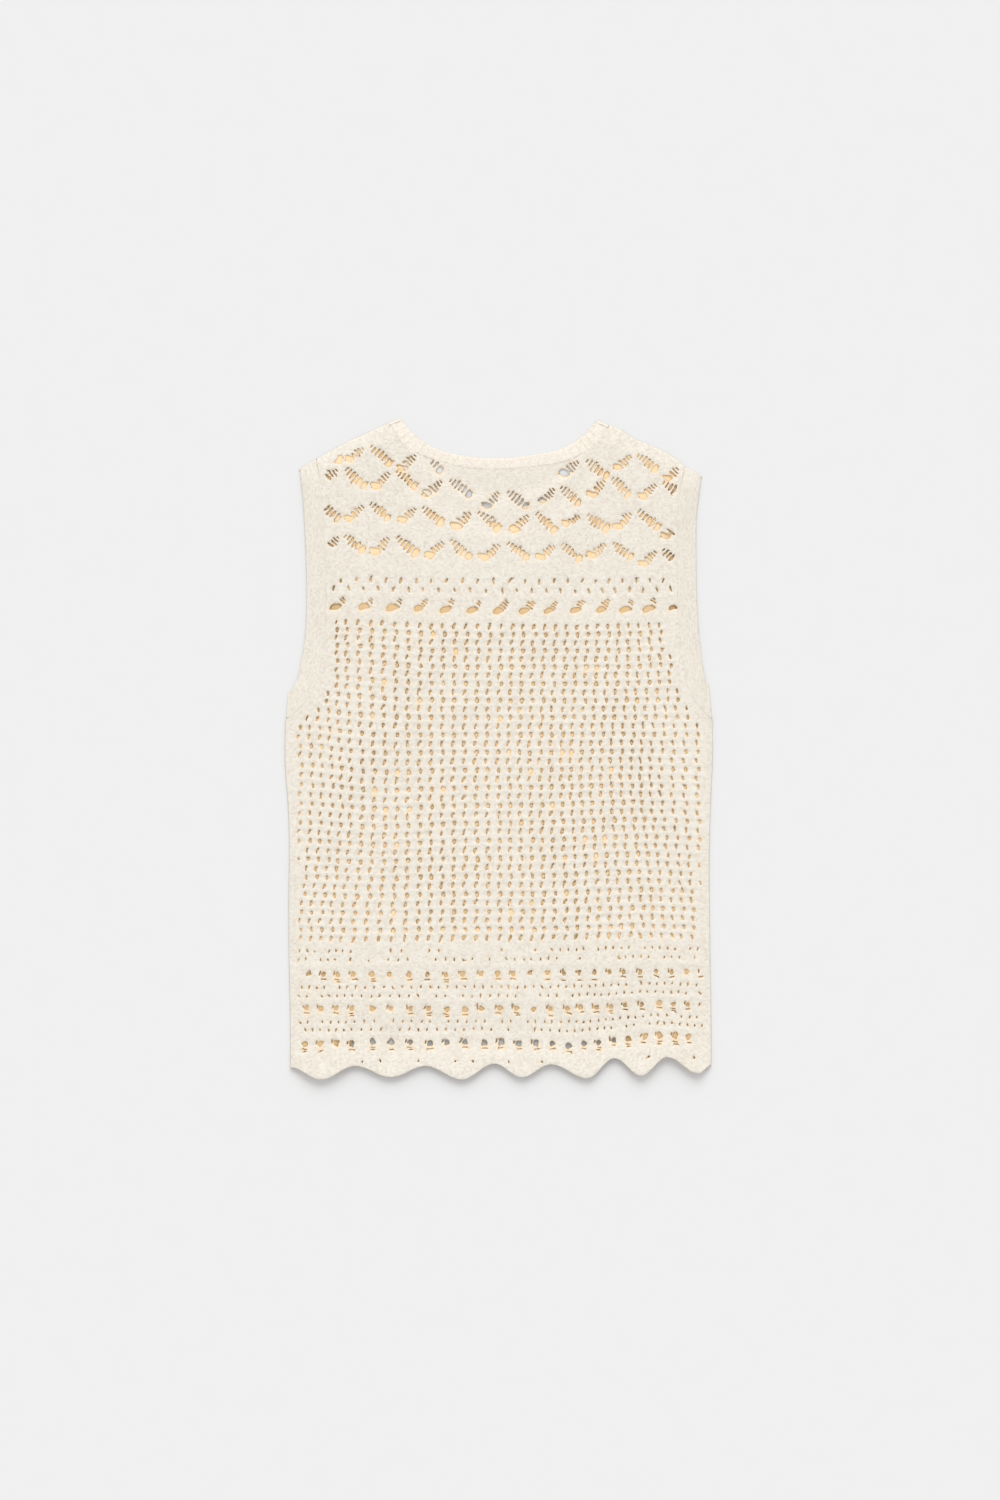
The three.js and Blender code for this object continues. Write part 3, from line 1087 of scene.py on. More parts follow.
class Shader:
    """The nodes of one material."""

    def __init__(self, name: str) -> None:
        """Makes the material with a plain surface.

        Args:
            name: the material's name.
        """
        self.material = bpy.data.materials.new(name)
        self.material.use_nodes = True
        self.tree = self.material.node_tree
        self.surface = next(node for node in self.tree.nodes if node.type == "BSDF_PRINCIPLED")

    def node(self, kind: str, settings: dict[str, Any] | None = None, **inputs: Any) -> bpy.types.Node:
        """Adds a node.

        Args:
            kind: the node's type.
            settings: its own settings, set before its sockets.
            inputs: values or links of its sockets; a number after "input_" picks one by its place.

        Returns:
            The node.
        """
        node = self.tree.nodes.new(kind)
        for name, value in (settings or {}).items():
            setattr(node, name, value)
        for name, value in inputs.items():
            key = int(name[6:]) if name.startswith("input_") else name.replace("_", " ")
            self.feed(node.inputs[key], value)
        return node

    def feed(self, socket: bpy.types.NodeSocket, value: Any) -> None:
        """Links a value to a socket, or sets the socket to it.

        Args:
            socket: the socket to feed.
            value: a link, or a constant.
        """
        if isinstance(value, Value):
            self.tree.links.new(value.socket, socket)
        else:
            socket.default_value = value

    def value(self, node: bpy.types.Node, output: str | int = 0) -> Value:
        """An output of a node, for expressions."""
        return Value(self, node.outputs[output])

    def math(self, operation: str, first: "Value | float", second: "Value | float" = 0.0) -> Value:
        """A Math node on one or two values."""
        made = self.node("ShaderNodeMath", {"operation": operation}, input_0=first, input_1=second)
        return self.value(made)

    def ramp(self, value: Value, low: float, high: float) -> Value:
        """How far a value has gone from low to high, smoothly.

        Args:
            value: the value.
            low: where the way starts.
            high: where it ends.

        Returns:
            From 0 at low to 1 at high.
        """
        made = self.node(
            "ShaderNodeMapRange",
            {"interpolation_type": "SMOOTHSTEP"},
            Value=value,
            From_Min=low,
            From_Max=high,
        )
        return self.value(made)

    def mix(self, factor: "Value | float", first: Any, second: Any) -> Value:
        """A colour between two others.

        Args:
            factor: 0 for the first and 1 for the second.
            first: a colour.
            second: another.

        Returns:
            The colour.
        """
        made = self.node(
            "ShaderNodeMix", {"data_type": "RGBA"}, input_0=factor, input_6=first, input_7=second
        )
        return self.value(made, 2)

    def chance(self, cell: Value, output: str) -> Value:
        """A random number or colour for each cell of a plane; output is "Value" or "Color"."""
        made = self.node("ShaderNodeTexWhiteNoise", {"noise_dimensions": "2D"}, Vector=cell)
        return self.value(made, output)

    def noise(self, coordinates: Value, scale: float, detail: float = 2.0) -> Value:
        """Soft noise from 0 to 1, with features about 1 / scale across."""
        made = self.node("ShaderNodeTexNoise", None, Vector=coordinates, Scale=scale, Detail=detail)
        return self.value(made, "Fac")


Colour = tuple[float, float, float, float]


@dataclass(frozen=True)
class KnitFinish:
    """Matt cotton knit: rows of V-shaped stitches with small hollows between them, darkened by painted
    shade.
    """

    name: str
    yarn: Colour
    shade: Colour  # of the yarn's duller stretches
    painted_hollow_shade: Colour  # painted shade in the hollows between stitches
    inner: Colour  # painted warm shade inside the lace openings
    painted_shade_pale: Colour = (0.86, 0.71, 0.5, 1.0)  # painted shade of paler patches there, lighter as if lit
    pale_share: float = 0.5  # how far these patches go to it
    painted_deep_shade: Colour = (0.56, 0.37, 0.18, 1.0)  # painted shade in the darkest of the openings
    relief: float = 0.45  # height of the stitches, in millimetres
    painted_hollow_shade_share: float = 0.85  # how dark the painted shade in the hollows is
    leg_slope: float = 0.55  # how steeply the two legs of a stitch run

    def material(self) -> bpy.types.Material:
        """The finish as a material; it reads the UV map "stitches" and the attribute that marks where shade
        is painted.

        Returns:
            The material.
        """
        shader = Shader(self.name)
        place = shader.value(shader.node("ShaderNodeTexCoord"), "Object")
        uv = shader.value(shader.node("ShaderNodeUVMap", {"uv_map": "stitches"}), "UV")
        attribute = {"attribute_name": "painted_shade", "attribute_type": "GEOMETRY"}
        painted_shade = shader.value(shader.node("ShaderNodeAttribute", attribute), "Fac")
        split = shader.node("ShaderNodeSeparateXYZ", None, Vector=uv)
        waver = shader.noise(place, 130.0, 3.0) - 0.5
        across = shader.value(split, "X") + waver * 0.9
        along = shader.value(split, "Y") + (shader.noise(place, 170.0, 3.0) - 0.5) * 1.1
        odd = shader.math("FRACT", shader.math("FLOOR", across) * 0.5)
        side = shader.math("ABSOLUTE", shader.math("FRACT", across) - 0.5) * 2.0
        leg = shader.math("FRACT", along + odd - side * self.leg_slope)
        cord = shader.math("SINE", leg * math.pi)
        ply = 1.0 - (side * 2.0 - 1.0) ** 2.0
        height = cord ** 0.7 * (ply * 0.65 + 0.35)

        cell = shader.node(
            "ShaderNodeCombineXYZ",
            None,
            X=shader.math("FLOOR", across),
            Y=shader.math("FLOOR", along + odd),
        )
        chance = shader.chance(shader.value(cell), "Value")
        # painted shade in the hollows between stitches, stronger in some stitches at random
        painted_hollow_shade = shader.ramp(height, 0.5, 0.05) * (0.2 + chance ** 3.0 * 1.5)
        tone = shader.chance(shader.value(cell), "Color")
        tone = shader.value(shader.node("ShaderNodeSeparateXYZ", None, Vector=tone), "Y")
        patches = shader.ramp(shader.noise(place, 28.0, 3.0), 0.35, 0.72)
        fibre = shader.noise(place, 900.0, 2.0)
        colour = shader.mix(patches * 0.12 + fibre * 0.2 + tone * 0.65, self.yarn, self.shade)
        colour = shader.mix(painted_hollow_shade * self.painted_hollow_shade_share, colour, self.painted_hollow_shade)
        # painted shade inside the openings: a warm colour, paler in patches as if lit and deeper in the
        # darkest places
        pale = shader.ramp(shader.noise(place, 110.0), 0.38, 0.72) * self.pale_share
        painted_shade_colour = shader.mix(pale, self.inner, self.painted_shade_pale)
        painted_shade_colour = shader.mix((painted_shade - 1.0) * 2.0, painted_shade_colour, self.painted_deep_shade)
        colour = shader.mix(painted_shade, colour, painted_shade_colour)

        bump = shader.node(
            "ShaderNodeBump",
            None,
            Strength=0.5,
            Distance=self.relief * MM,
            Height=height + fibre * 0.25,
        )
        shader.feed(shader.surface.inputs["Base Color"], colour)
        shader.feed(shader.surface.inputs["Roughness"], 0.96 - height * 0.1)
        shader.feed(shader.surface.inputs["Normal"], shader.value(bump))
        shader.surface.inputs["Specular IOR Level"].default_value = 0.25
        shader.surface.inputs["Sheen Weight"].default_value = 0.12
        shader.surface.inputs["Sheen Roughness"].default_value = 0.6
        return shader.material


@dataclass(frozen=True)
class FloorFinish:
    """A plain pale surface."""

    colour: Colour = (0.71, 0.71, 0.71, 1.0)

    def material(self) -> bpy.types.Material:
        """The finish as a material.

        Returns:
            The material.
        """
        shader = Shader("pale_floor")
        place = shader.value(shader.node("ShaderNodeTexCoord"), "Object")
        grain = shader.noise(place, 40.0)
        darker = tuple(0.99 * part for part in self.colour[:3]) + (1.0,)
        shader.feed(shader.surface.inputs["Base Color"], shader.mix(grain, self.colour, darker))
        shader.surface.inputs["Roughness"].default_value = 1.0
        shader.surface.inputs["Specular IOR Level"].default_value = 0.0
        return shader.material


OPENWORK = KnitFinish(
    "openwork_cotton",
    yarn=(0.82, 0.775, 0.695, 1.0),
    shade=(0.70, 0.65, 0.57, 1.0),
    painted_hollow_shade=(0.42, 0.335, 0.22, 1.0),
    inner=(0.92, 0.66, 0.375, 1.0),
)
RIB = KnitFinish(
    "ribbed_cotton",
    yarn=(0.84, 0.785, 0.70, 1.0),
    shade=(0.72, 0.655, 0.57, 1.0),
    painted_hollow_shade=(0.56, 0.46, 0.33, 1.0),
    inner=(0.78, 0.66, 0.48, 1.0),
    painted_hollow_shade_share=0.5,
)
PLAIN = KnitFinish(
    "plain_cotton",
    yarn=(0.82, 0.775, 0.695, 1.0),
    shade=(0.70, 0.65, 0.57, 1.0),
    painted_hollow_shade=(0.42, 0.335, 0.22, 1.0),
    inner=(0.78, 0.66, 0.48, 1.0),
)


# --- meshes ---------------------------------------------------------------------------------------------


@dataclass
class Cloth:
    """The mesh of one piece, in millimetres of the plan, and what each of its points or corners carries."""

    points: np.ndarray
    faces: np.ndarray
    painted_shade: np.ndarray  # painted shade of each point: 0 on the outer face, 1 or more inside an opening
    stitches: np.ndarray  # one pair for each corner of each face
    bake: np.ndarray  # likewise

    def piece(self, name: str, slot: str, material: bpy.types.Material, node: str) -> bpy.types.Object:
        """Makes the piece.

        Args:
            name: its name.
            slot: not used.
            material: the finish.
            node: the node that it stands for.

        Returns:
            The piece, riding on the garment's one body.
        """
        metres = self.points * MM + np.array([0, HEM_LINE, 0])
        mesh = bpy.data.meshes.new(name)
        mesh.from_pydata(metres.tolist(), [], self.faces.tolist())
        for map_name, corners in (("stitches", self.stitches), ("OFBake", self.bake)):
            layer = mesh.uv_layers.new(name=map_name)
            layer.uv.foreach_set("vector", corners.reshape(-1).astype(np.float32))
        # the attribute that marks where shade is painted inside the openings and round their rims
        attribute = mesh.attributes.new("painted_shade", "FLOAT", "POINT")
        attribute.data.foreach_set("value", self.painted_shade.astype(np.float32))
        mesh.shade_smooth()
        mesh.materials.append(material)
        mesh.validate()
        made = bpy.data.objects.new(name, mesh)
        bpy.context.scene.collection.objects.link(made)
        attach(made, "root")
        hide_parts(node)
        log.info("%s: %d faces", name, len(self.faces))
        return made


def apart(openings: Sequence[Opening], avoided: Sequence[Opening], strand: float = 0.7) -> list[Opening]:
    """Shrinks the openings that would run into larger ones, or leaves them out.

    Args:
        openings: the openings.
        avoided: the other panel's, which no opening may lie over, so that nothing shows through both.
        strand: the least width of cloth between two of them.

    Returns:
        Those that are kept.
    """
    cells: dict[tuple[int, int], list[tuple[float, float]]] = {}

    def clear(rim: np.ndarray) -> bool:
        """Whether a rim keeps its distance from all that are kept.

        Args:
            rim: the rim's points.

        Returns:
            True if nothing is too near.
        """
        for x, height in rim:
            column, row = math.floor(x / strand), math.floor(height / strand)
            for near in ((column + i, row + j) for i in (-1, 0, 1) for j in (-1, 0, 1)):
                others = cells.get(near, ())
                if any(math.hypot(x - other[0], height - other[1]) < strand for other in others):
                    return False
        return True

    def keep(opening: Opening, scales: Sequence[float]) -> None:
        """Puts an opening's rim, and rims within it, among those that are kept.

        Args:
            opening: the opening.
            scales: the size of each rim, as a share of its own.
        """
        for scale in scales:
            rim = replace(opening, length=opening.length * scale, width=opening.width * scale).outline(20)
            for x, height in even_steps(np.vstack([rim, rim[:1]]), 0.4):
                cell = (math.floor(x / strand), math.floor(height / strand))
                cells.setdefault(cell, []).append((x, height))

    for opening in avoided:
        keep(opening, (1.0, 0.7, 0.4))
    kept = []
    for opening in sorted(openings, key=lambda one: -one.length * one.width):
        for share in (1.0, 0.85, 0.7, 0.55):
            width = opening.width * (0.4 + 0.6 * share)
            tried = replace(opening, length=opening.length * share, width=width)
            if clear(tried.outline(24)):
                kept.append(tried)
                keep(tried, (1.0,))
                break
    return kept


@dataclass
class Shell:
    """The points of a panel's shell in plan, and how far each is from the panel's edges."""

    points: np.ndarray
    is_upper: np.ndarray
    from_edge: np.ndarray
    from_opening: np.ndarray
    from_seam: np.ndarray
    from_band: np.ndarray
    from_hem: np.ndarray
    low: np.ndarray  # how low each lies beside a large opening
    low_behind: np.ndarray  # and behind one of the other panel
    outline_count: int  # the outline's points come first


@dataclass
class Panel:
    """A front or back: a shell of lace with real openings."""

    cut: Cut
    grain: float  # spacing of points between the openings
    rim_points: int  # round a small opening
    seed: int
    shift: float = 0.0  # repeats by which its lace lies off the other panel's
    room: dict[Edge, float] = field(
        default_factory=lambda: {
            Edge.HEM: 3.0, Edge.SIDE: 7.0, Edge.ARMHOLE: 1.6, Edge.SHOULDER: 4.5, Edge.NECK: 2.0
        }
    )  # least width of cloth between an opening and each kind of edge
    plain_strip: float = 7.0  # more cloth that the open ground leaves beside the armholes
    avoided: Sequence[Opening] = ()  # the other panel's openings, where its own would let the floor show
    plain_strip_top: float = 415.0  # and how high up it leaves that
    hem_lift: float = 2.6  # how far the back's hem curls up
    hem_curl: float = 17.0  # and over what width
    rings: tuple[float, ...] = (0.3, 1.05)  # how far round each opening the rings of points stand
    strand_step: float = 0.5  # between points along the middle of a strand
    least_spacing: float = 0.42  # of the points between the openings
    large: float = 3.4  # openings more than this long and wide have a soft slope at their foot
    slope: float = 2.4  # how much wider than the rest of the rim it is
    ground_painted_shade_reach: float = 0.95  # how far round an opening the painted shade of the inside shows on the cloth
    strand_painted_shade_reach: float = 0.45  # and on the thin strands of the yoke
    painted_light_at_foot: float = 0.45  # how much of that painted shade gives way to painted light low behind the yoke's large openings
    rim_round: float = 1.1  # the cloth rises over this width from an opening's rim
    rim_level: float = 0.15  # where the rim lies, from the inner face to the outer
    seam_slope: float = 11.0  # the cloth thins towards side and shoulder seams over this width
    seam_thinning: float = 0.4
    stitch_sway: float = 1.2  # how far the yoke's arches bend the rows of stitches

    def openings(self) -> list[Opening]:
        """The openings that fit in the panel.

        Returns:
            The openings as they lie, the largest first.
        """
        outline, kinds = self.cut.outline()
        draw = random.Random(self.seed)
        found = [opening for row in LACE for opening in row.openings(draw, self.shift)]
        middles = self.cut.laid(np.array([(opening.x, opening.height) for opening in found]))
        kept = inside(outline, middles)
        halves = np.array([(opening.length + opening.width) / 4 for opening in found])
        share = np.ones(len(found))
        for kind, room in self.room.items():
            if kind is Edge.ARMHOLE:
                room = room + self.plain_strip * (middles[:, 1] < self.plain_strip_top)
            share = np.minimum(share, (nearest(outline[kinds == kind], middles) - room) / halves)
        fitting = [
            replace(opening, x=x, height=height, length=opening.length * fit, width=opening.width * fit)
            for opening, (x, height), fit, keep in zip(found, middles, share, kept)
            if keep and fit > 0.55
        ]
        return apart(fitting, self.avoided)

    def lift(self, points: np.ndarray, from_edge: np.ndarray) -> np.ndarray:
        """How far the soft ridges lift the cloth.

        Args:
            points: points of the plan.
            from_edge: how far each is from the panel's edges.

        Returns:
            The lift at each, in millimetres.
        """
        total = np.zeros(len(points))
        for ridge in RIDGES:
            lean = math.radians(ridge.lean)
            away = points - (ridge.x, ridge.height)
            across = away[:, 0] * math.cos(lean) - away[:, 1] * math.sin(lean)
            along = away[:, 0] * math.sin(lean) + away[:, 1] * math.cos(lean)
            total += ridge.lift * np.exp(-((across / ridge.across) ** 2) - (along / ridge.along) ** 2)
        share = 1.0 if self.cut.layer is Layer.BACK else 0.35
        return share * total * smooth_step(from_edge / RIDGE_MARGIN)

    def sheet(
        self, loops: list[np.ndarray], extra: np.ndarray, rounded: bool = False
    ) -> tuple[np.ndarray, np.ndarray]:
        """Triangles over the panel, with its openings left out.

        Args:
            loops: the outline, and then each opening's rim.
            extra: points between them.
            rounded: whether every strand gets points along its middle, so that it can stand up round.

        Returns:
            All points, with the loops' first, and the triangles between them.
        """
        points = np.vstack([*loops, extra])
        edges = []
        first = 0
        owner = np.full(len(points), -1)
        for number, loop in enumerate(loops):
            last = first + len(loop)
            edges += [(k, k + 1 if k + 1 < last else first) for k in range(first, last)]
            owner[first:last] = number
            first = last
        made = delaunay_2d_cdt([Vector(point) for point in points.tolist()], edges, [], 1, 1e-5)
        back = np.array([origin[0] if origin else -1 for origin in made[3]])
        faces = back[np.array(made[2])]
        faces = faces[(faces >= 0).all(axis=1)]
        ranked = np.sort(faces, axis=1)
        owners = owner[ranked]
        same = (owners[:, 0] > 0) & (owners[:, 0] == owners[:, 1]) & (owners[:, 1] == owners[:, 2])
        first_side, second_side = (points[ranked[:, k]] - points[ranked[:, 0]] for k in (1, 2))
        turned = first_side[:, 0] * second_side[:, 1] - first_side[:, 1] * second_side[:, 0]
        faces = faces[~(same & (turned > 0))]
        if not rounded:
            return points, faces
        sides = np.vstack([faces[:, [0, 1]], faces[:, [1, 2]], faces[:, [2, 0]]])
        sides = np.unique(np.sort(sides, axis=1), axis=0)
        ends = owner[sides]
        crossing = sides[(ends >= 0).all(axis=1) & (ends[:, 0] != ends[:, 1])]
        middles = points[crossing].mean(axis=1)
        cells = np.unique(np.round(middles / self.strand_step).astype(int), axis=0, return_index=True)[1]
        return self.sheet(loops, np.vstack([extra, middles[cells]]))

    def between(
        self,
        outline: np.ndarray,
        openings: list[Opening],
        rims: np.ndarray,
        rings: Sequence[float],
        grain: float,
    ) -> np.ndarray:
        """Points between the openings: rings round them, rings inside the outline, and a grid elsewhere.

        Args:
            outline: the outline's points.
            openings: the openings.
            rims: many points on all rims.
            rings: how far out each ring stands.
            grain: the grid's spacing.

        Returns:
            The points.
        """
        steps = np.roll(outline, -1, axis=0) - np.roll(outline, 1, axis=0)
        normals = np.column_stack([-steps[:, 1], steps[:, 0]]) / np.linalg.norm(steps, axis=1)[:, None]
        sets = []
        for number, ring in enumerate(rings):
            count = round(self.rim_points * (0.75 if number else 1))
            around = [o.outline(self.count_of(o, count), ring, 0.5 * number) for o in openings]
            made = np.vstack([*around, outline + normals * ring])
            sets.append((made, ring * 0.88))
        for reach in (2.0, 3.4):
            sets.append((outline + normals * reach, reach * 0.88))
        if not rings:
            shown = [o for o in self.avoided if min(o.length, o.width) > self.large]
            for inset in (0.0, 0.3) if shown else ():
                sets.append((np.vstack([o.outline(7, -inset * o.width) for o in shown]), 0.5))
        low, high = outline.min(axis=0), outline.max(axis=0)
        across = np.arange(low[0], high[0], grain)
        up = np.arange(low[1], high[1], grain * 0.87)
        grid = np.stack(np.meshgrid(across, up), axis=-1)
        grid[1::2, :, 0] += grain / 2
        draw = np.random.default_rng(self.seed)
        grid = grid.reshape(-1, 2) + draw.uniform(-0.12, 0.12, (grid.size // 2, 2)) * grain
        sets.append((grid, max(rings, default=0.5) + 0.35 * grain))
        taken: set[tuple[int, int]] = set()
        kept = []
        for points, least in sets:
            away = nearest(rims, points)
            good = (away >= least) & inside(outline, points)
            good &= ~self.within_openings(openings, points)
            for point in points[good]:
                cell = (round(point[0] / self.least_spacing), round(point[1] / self.least_spacing))
                if cell not in taken:
                    taken.add(cell)
                    kept.append(point)
        return np.array(kept)

    def within_openings(self, openings: list[Opening], points: np.ndarray) -> np.ndarray:
        """Which points lie within the larger openings.

        Args:
            openings: the panel's openings.
            points: the points to test.

        Returns:
            True for each that lies within one.
        """
        found = np.zeros(len(points), bool)
        for opening in openings:
            if min(opening.length, opening.width) > self.large:
                near = np.abs(points - (opening.x, opening.height)).max(axis=1) < opening.length * 0.7
                found[near] |= inside(opening.outline(20), points[near])
        return found

    def low_in(self, openings: Sequence[Opening], points: np.ndarray, margin: float) -> np.ndarray:
        """How low beside a large opening each point lies.

        Args:
            openings: the openings.
            points: the points.
            margin: how far outside an opening it still counts.

        Returns:
            0 level with the top of the opening, or far from any, and 1 level with its foot.
        """
        found = np.zeros(len(points))
        for opening in openings:
            if min(opening.length, opening.width) > self.large:
                half = np.ptp(opening.outline(16), axis=0) / 2
                away = points - (opening.x, opening.height)
                near = (np.abs(away) < half + margin).all(axis=1)
                found[near] = np.maximum(found[near], np.clip(0.5 - away[near, 1] / (2 * half[1]), 0, 1))
        return found

    def count_of(self, opening: Opening, least: int) -> int:
        """How many points go round an opening."""
        return max(least, round(opening.length * 1.7 + opening.width * 0.8 - 1.5))

    def build(self, name: str, material: bpy.types.Material) -> bpy.types.Object:
        """Builds the panel as a piece that stands for its node.

        Args:
            name: the piece's name.
            material: its finish.

        Returns:
            The piece.
        """
        outline, kinds = self.cut.outline()
        openings = self.openings()
        rims = [opening.outline(self.count_of(opening, self.rim_points)) for opening in openings]
        fine_edge = even_steps(np.vstack([outline, outline[:1]]), 0.5)
        counts = [self.count_of(opening, self.rim_points) * 4 for opening in openings]
        fine_rims = np.vstack([opening.outline(count) for opening, count in zip(openings, counts)])
        fine = np.vstack([fine_edge, fine_rims])
        is_back = self.cut.layer is Layer.BACK
        outer = self.between(outline, openings, fine, self.rings, self.grain)
        inner = self.between(outline, openings, fine, (), self.grain * 2.4)
        upper, upper_faces = self.sheet([outline, *rims], outer if is_back else inner, is_back)
        lower, lower_faces = self.sheet([outline, *rims], inner if is_back else outer, not is_back)
        shared = len(outline) + sum(len(rim) for rim in rims)
        points = np.vstack([upper, lower[shared:]])
        lower_faces[lower_faces >= shared] += len(upper) - shared
        shell = Shell(
            points,
            is_upper=np.arange(len(points)) < len(upper),
            from_edge=nearest(fine_edge, points),
            from_opening=nearest(fine_rims, points),
            from_seam=nearest(outline[np.isin(kinds, (Edge.SIDE, Edge.SHOULDER))], points),
            from_band=nearest(outline[np.isin(kinds, (Edge.ARMHOLE, Edge.NECK))], points),
            from_hem=nearest(outline[kinds == Edge.HEM], points),
            low=self.low_in(openings, points, 3.5),
            low_behind=self.low_in(self.avoided, points, 0.5),
            outline_count=len(outline),
        )
        shell.from_edge[: len(outline)] = 0
        shell.from_opening[len(outline) : shared] = 0
        faces = np.vstack([upper_faces, lower_faces[:, ::-1]])
        low = outline.min(axis=0)
        scale = 0.49 / max(np.ptp(outline[:, 0]), np.ptp(outline[:, 1]) / 2)
        bake = ((points - low) * scale + 0.005)[faces]
        bake[len(upper_faces) :, :, 0] += 0.5
        solid = np.column_stack([points, self.heights(shell)])
        cloth = Cloth(solid, faces, self.painted_shades(shell), self.stitches(points)[faces], bake)
        made = cloth.piece(name, "openwork_knit", material, f"{self.cut.layer.value}_panel")
        ahead = np.roll(outline, -1, axis=0)
        area = abs(np.dot(outline[:, 0], ahead[:, 1]) - np.dot(outline[:, 1], ahead[:, 0])) / 2
        flat = np.ptp(outline, axis=0) * MM
        log.info("%s: %d openings, %.4f square metres", name, len(openings), area * MM * MM)
        return made

    def heights(self, shell: "Shell") -> np.ndarray:
        """How high each point of the shell stands, in millimetres.

        Args:
            shell: the panel's points.

        Returns:
            The height of each above the surface.
        """
        is_back = self.cut.layer is Layer.BACK
        lift = self.lift(shell.points, shell.from_edge) - (sunk(shell.points) if is_back else 0)
        curl = self.hem_lift * np.exp(-((shell.from_hem / self.hem_curl) ** 2)) if is_back else 0.0
        thinning = self.seam_thinning * np.clip(1 - shell.from_seam / self.seam_slope, 0, 1) ** 2
        bottom = lift + curl + (PARTING + 0.05 if is_back else thinning)
        past = np.minimum(shell.from_band, np.where(self.cut.raised(shell.points[:, 0]), shell.from_hem, 99))
        swell = (PARTING - 0.05 - CLOTH) * smooth_step(past / BESIDE)
        top = lift + curl + (BACK_TOP - thinning if is_back else CLOTH + swell)
        if is_back:
            top = top + self.relief(shell)
        face = np.where(shell.is_upper, top, bottom)
        rim = bottom + (top - bottom) * (self.rim_level if is_back else 1 - self.rim_level)
        foot = np.clip(2 * shell.low - 1, 0, 1)
        share = np.clip(shell.from_opening / (self.rim_round * (1 + self.slope * foot)), 0, 1)
        height = rim + (face - rim) * np.sin(share * math.pi / 2) ** 0.8

        seam_level = MIDDLE + (0.05 if is_back else -0.05)  # both layers' edges meet there
        edge = (top + bottom) / 2
        banded = shell.from_band < 1.6
        edge = np.where(banded, top - 0.2 if is_back else bottom + 0.2, edge)
        edge = np.where(shell.from_seam < 1.6, seam_level, edge)
        reach = np.where(banded, 0.5, 1.5)
        share = np.clip(shell.from_edge / reach, 0, 1)
        height = edge + (height - edge) * np.sqrt(1 - (1 - share) ** 2)
        return height * pressed(shell.from_seam)

    def relief(self, shell: "Shell") -> np.ndarray:
        """The welts, the cords between the rows of the open ground, and the cloth's unevenness.

        Args:
            shell: the panel's points.

        Returns:
            How much higher each stands for them, in millimetres.
        """
        points = shell.points
        straight = 2 * points - eased(points)
        height = straight[:, 1]
        total = np.zeros(len(points))
        for welt in WELTS:
            total += welt.lift * np.exp(-(((height - welt.height) / welt.reach) ** 2))
        ground = smooth_step((height - GROUND_FOOT) / 6) * smooth_step((GROUND_TOP - height) / 6)
        ground *= smooth_step((shell.from_edge - 7) / 9)
        turns = math.tau * Ground().row_at(height)
        total -= ground * (0.27 * np.cos(turns) + 0.09 * np.cos(2 * turns))
        spots = [(noise.noise((x / 9, y / 7, 0.5)), noise.noise((x / 3.4, y / 2.6, 9.5))) for x, y in points]
        return total + np.array(spots) @ np.array([0.14, 0.14])

    def painted_shades(self, shell: "Shell") -> np.ndarray:
        """How much painted shade each point takes, inside the openings and round their rims.

        Args:
            shell: the panel's points.

        Returns:
            0 on the outer face, about 1 within an opening, more where the shade is painted darker, and less
            where it is painted as lit.
        """
        outer = shell.is_upper if self.cut.layer is Layer.BACK else ~shell.is_upper
        height = shell.points[:, 1]
        over_floor = np.clip(sunk(shell.points) / SINK_BESIDE, 0, 1)
        broad = np.maximum(height < STRAND_FOOT, over_floor)
        painted_shade_reach = self.strand_painted_shade_reach + (self.ground_painted_shade_reach - self.strand_painted_shade_reach) * broad
        reach = painted_shade_reach * (1 + 0.8 * self.slope * np.clip(2 * shell.low - 1, 0, 1))
        deeper = np.interp(height, *numbers(PAINTED_SHADE_TONES, "height", "deeper").T)
        painted_shade_inside = 1.0 + deeper - self.painted_light_at_foot * shell.low_behind * (height > STRAND_FOOT)
        painted_shade = np.where(outer, 0.9 * np.clip(1 - shell.from_opening / reach, 0, 1) ** 2, painted_shade_inside)
        painted_shade[: shell.outline_count] = 0.1
        return painted_shade

    def stitches(self, points: np.ndarray) -> np.ndarray:
        """Where each point lies in the count of stitches, across and up.

        Args:
            points: points of the plan.

        Returns:
            The number of the stitch and of its row.
        """
        straight = 2 * points - eased(points)
        x, height = straight.T
        sag = sag_depth(height) * sag_share(x)
        in_yoke = np.clip((height - 460) / 20, 0, 1)
        sway = self.stitch_sway * np.cos(math.pi * (x - ARCH_MIDDLE) / ARCH_PITCH) * in_yoke
        return np.column_stack([x / WALE, (height + sag + sway) / COURSE])


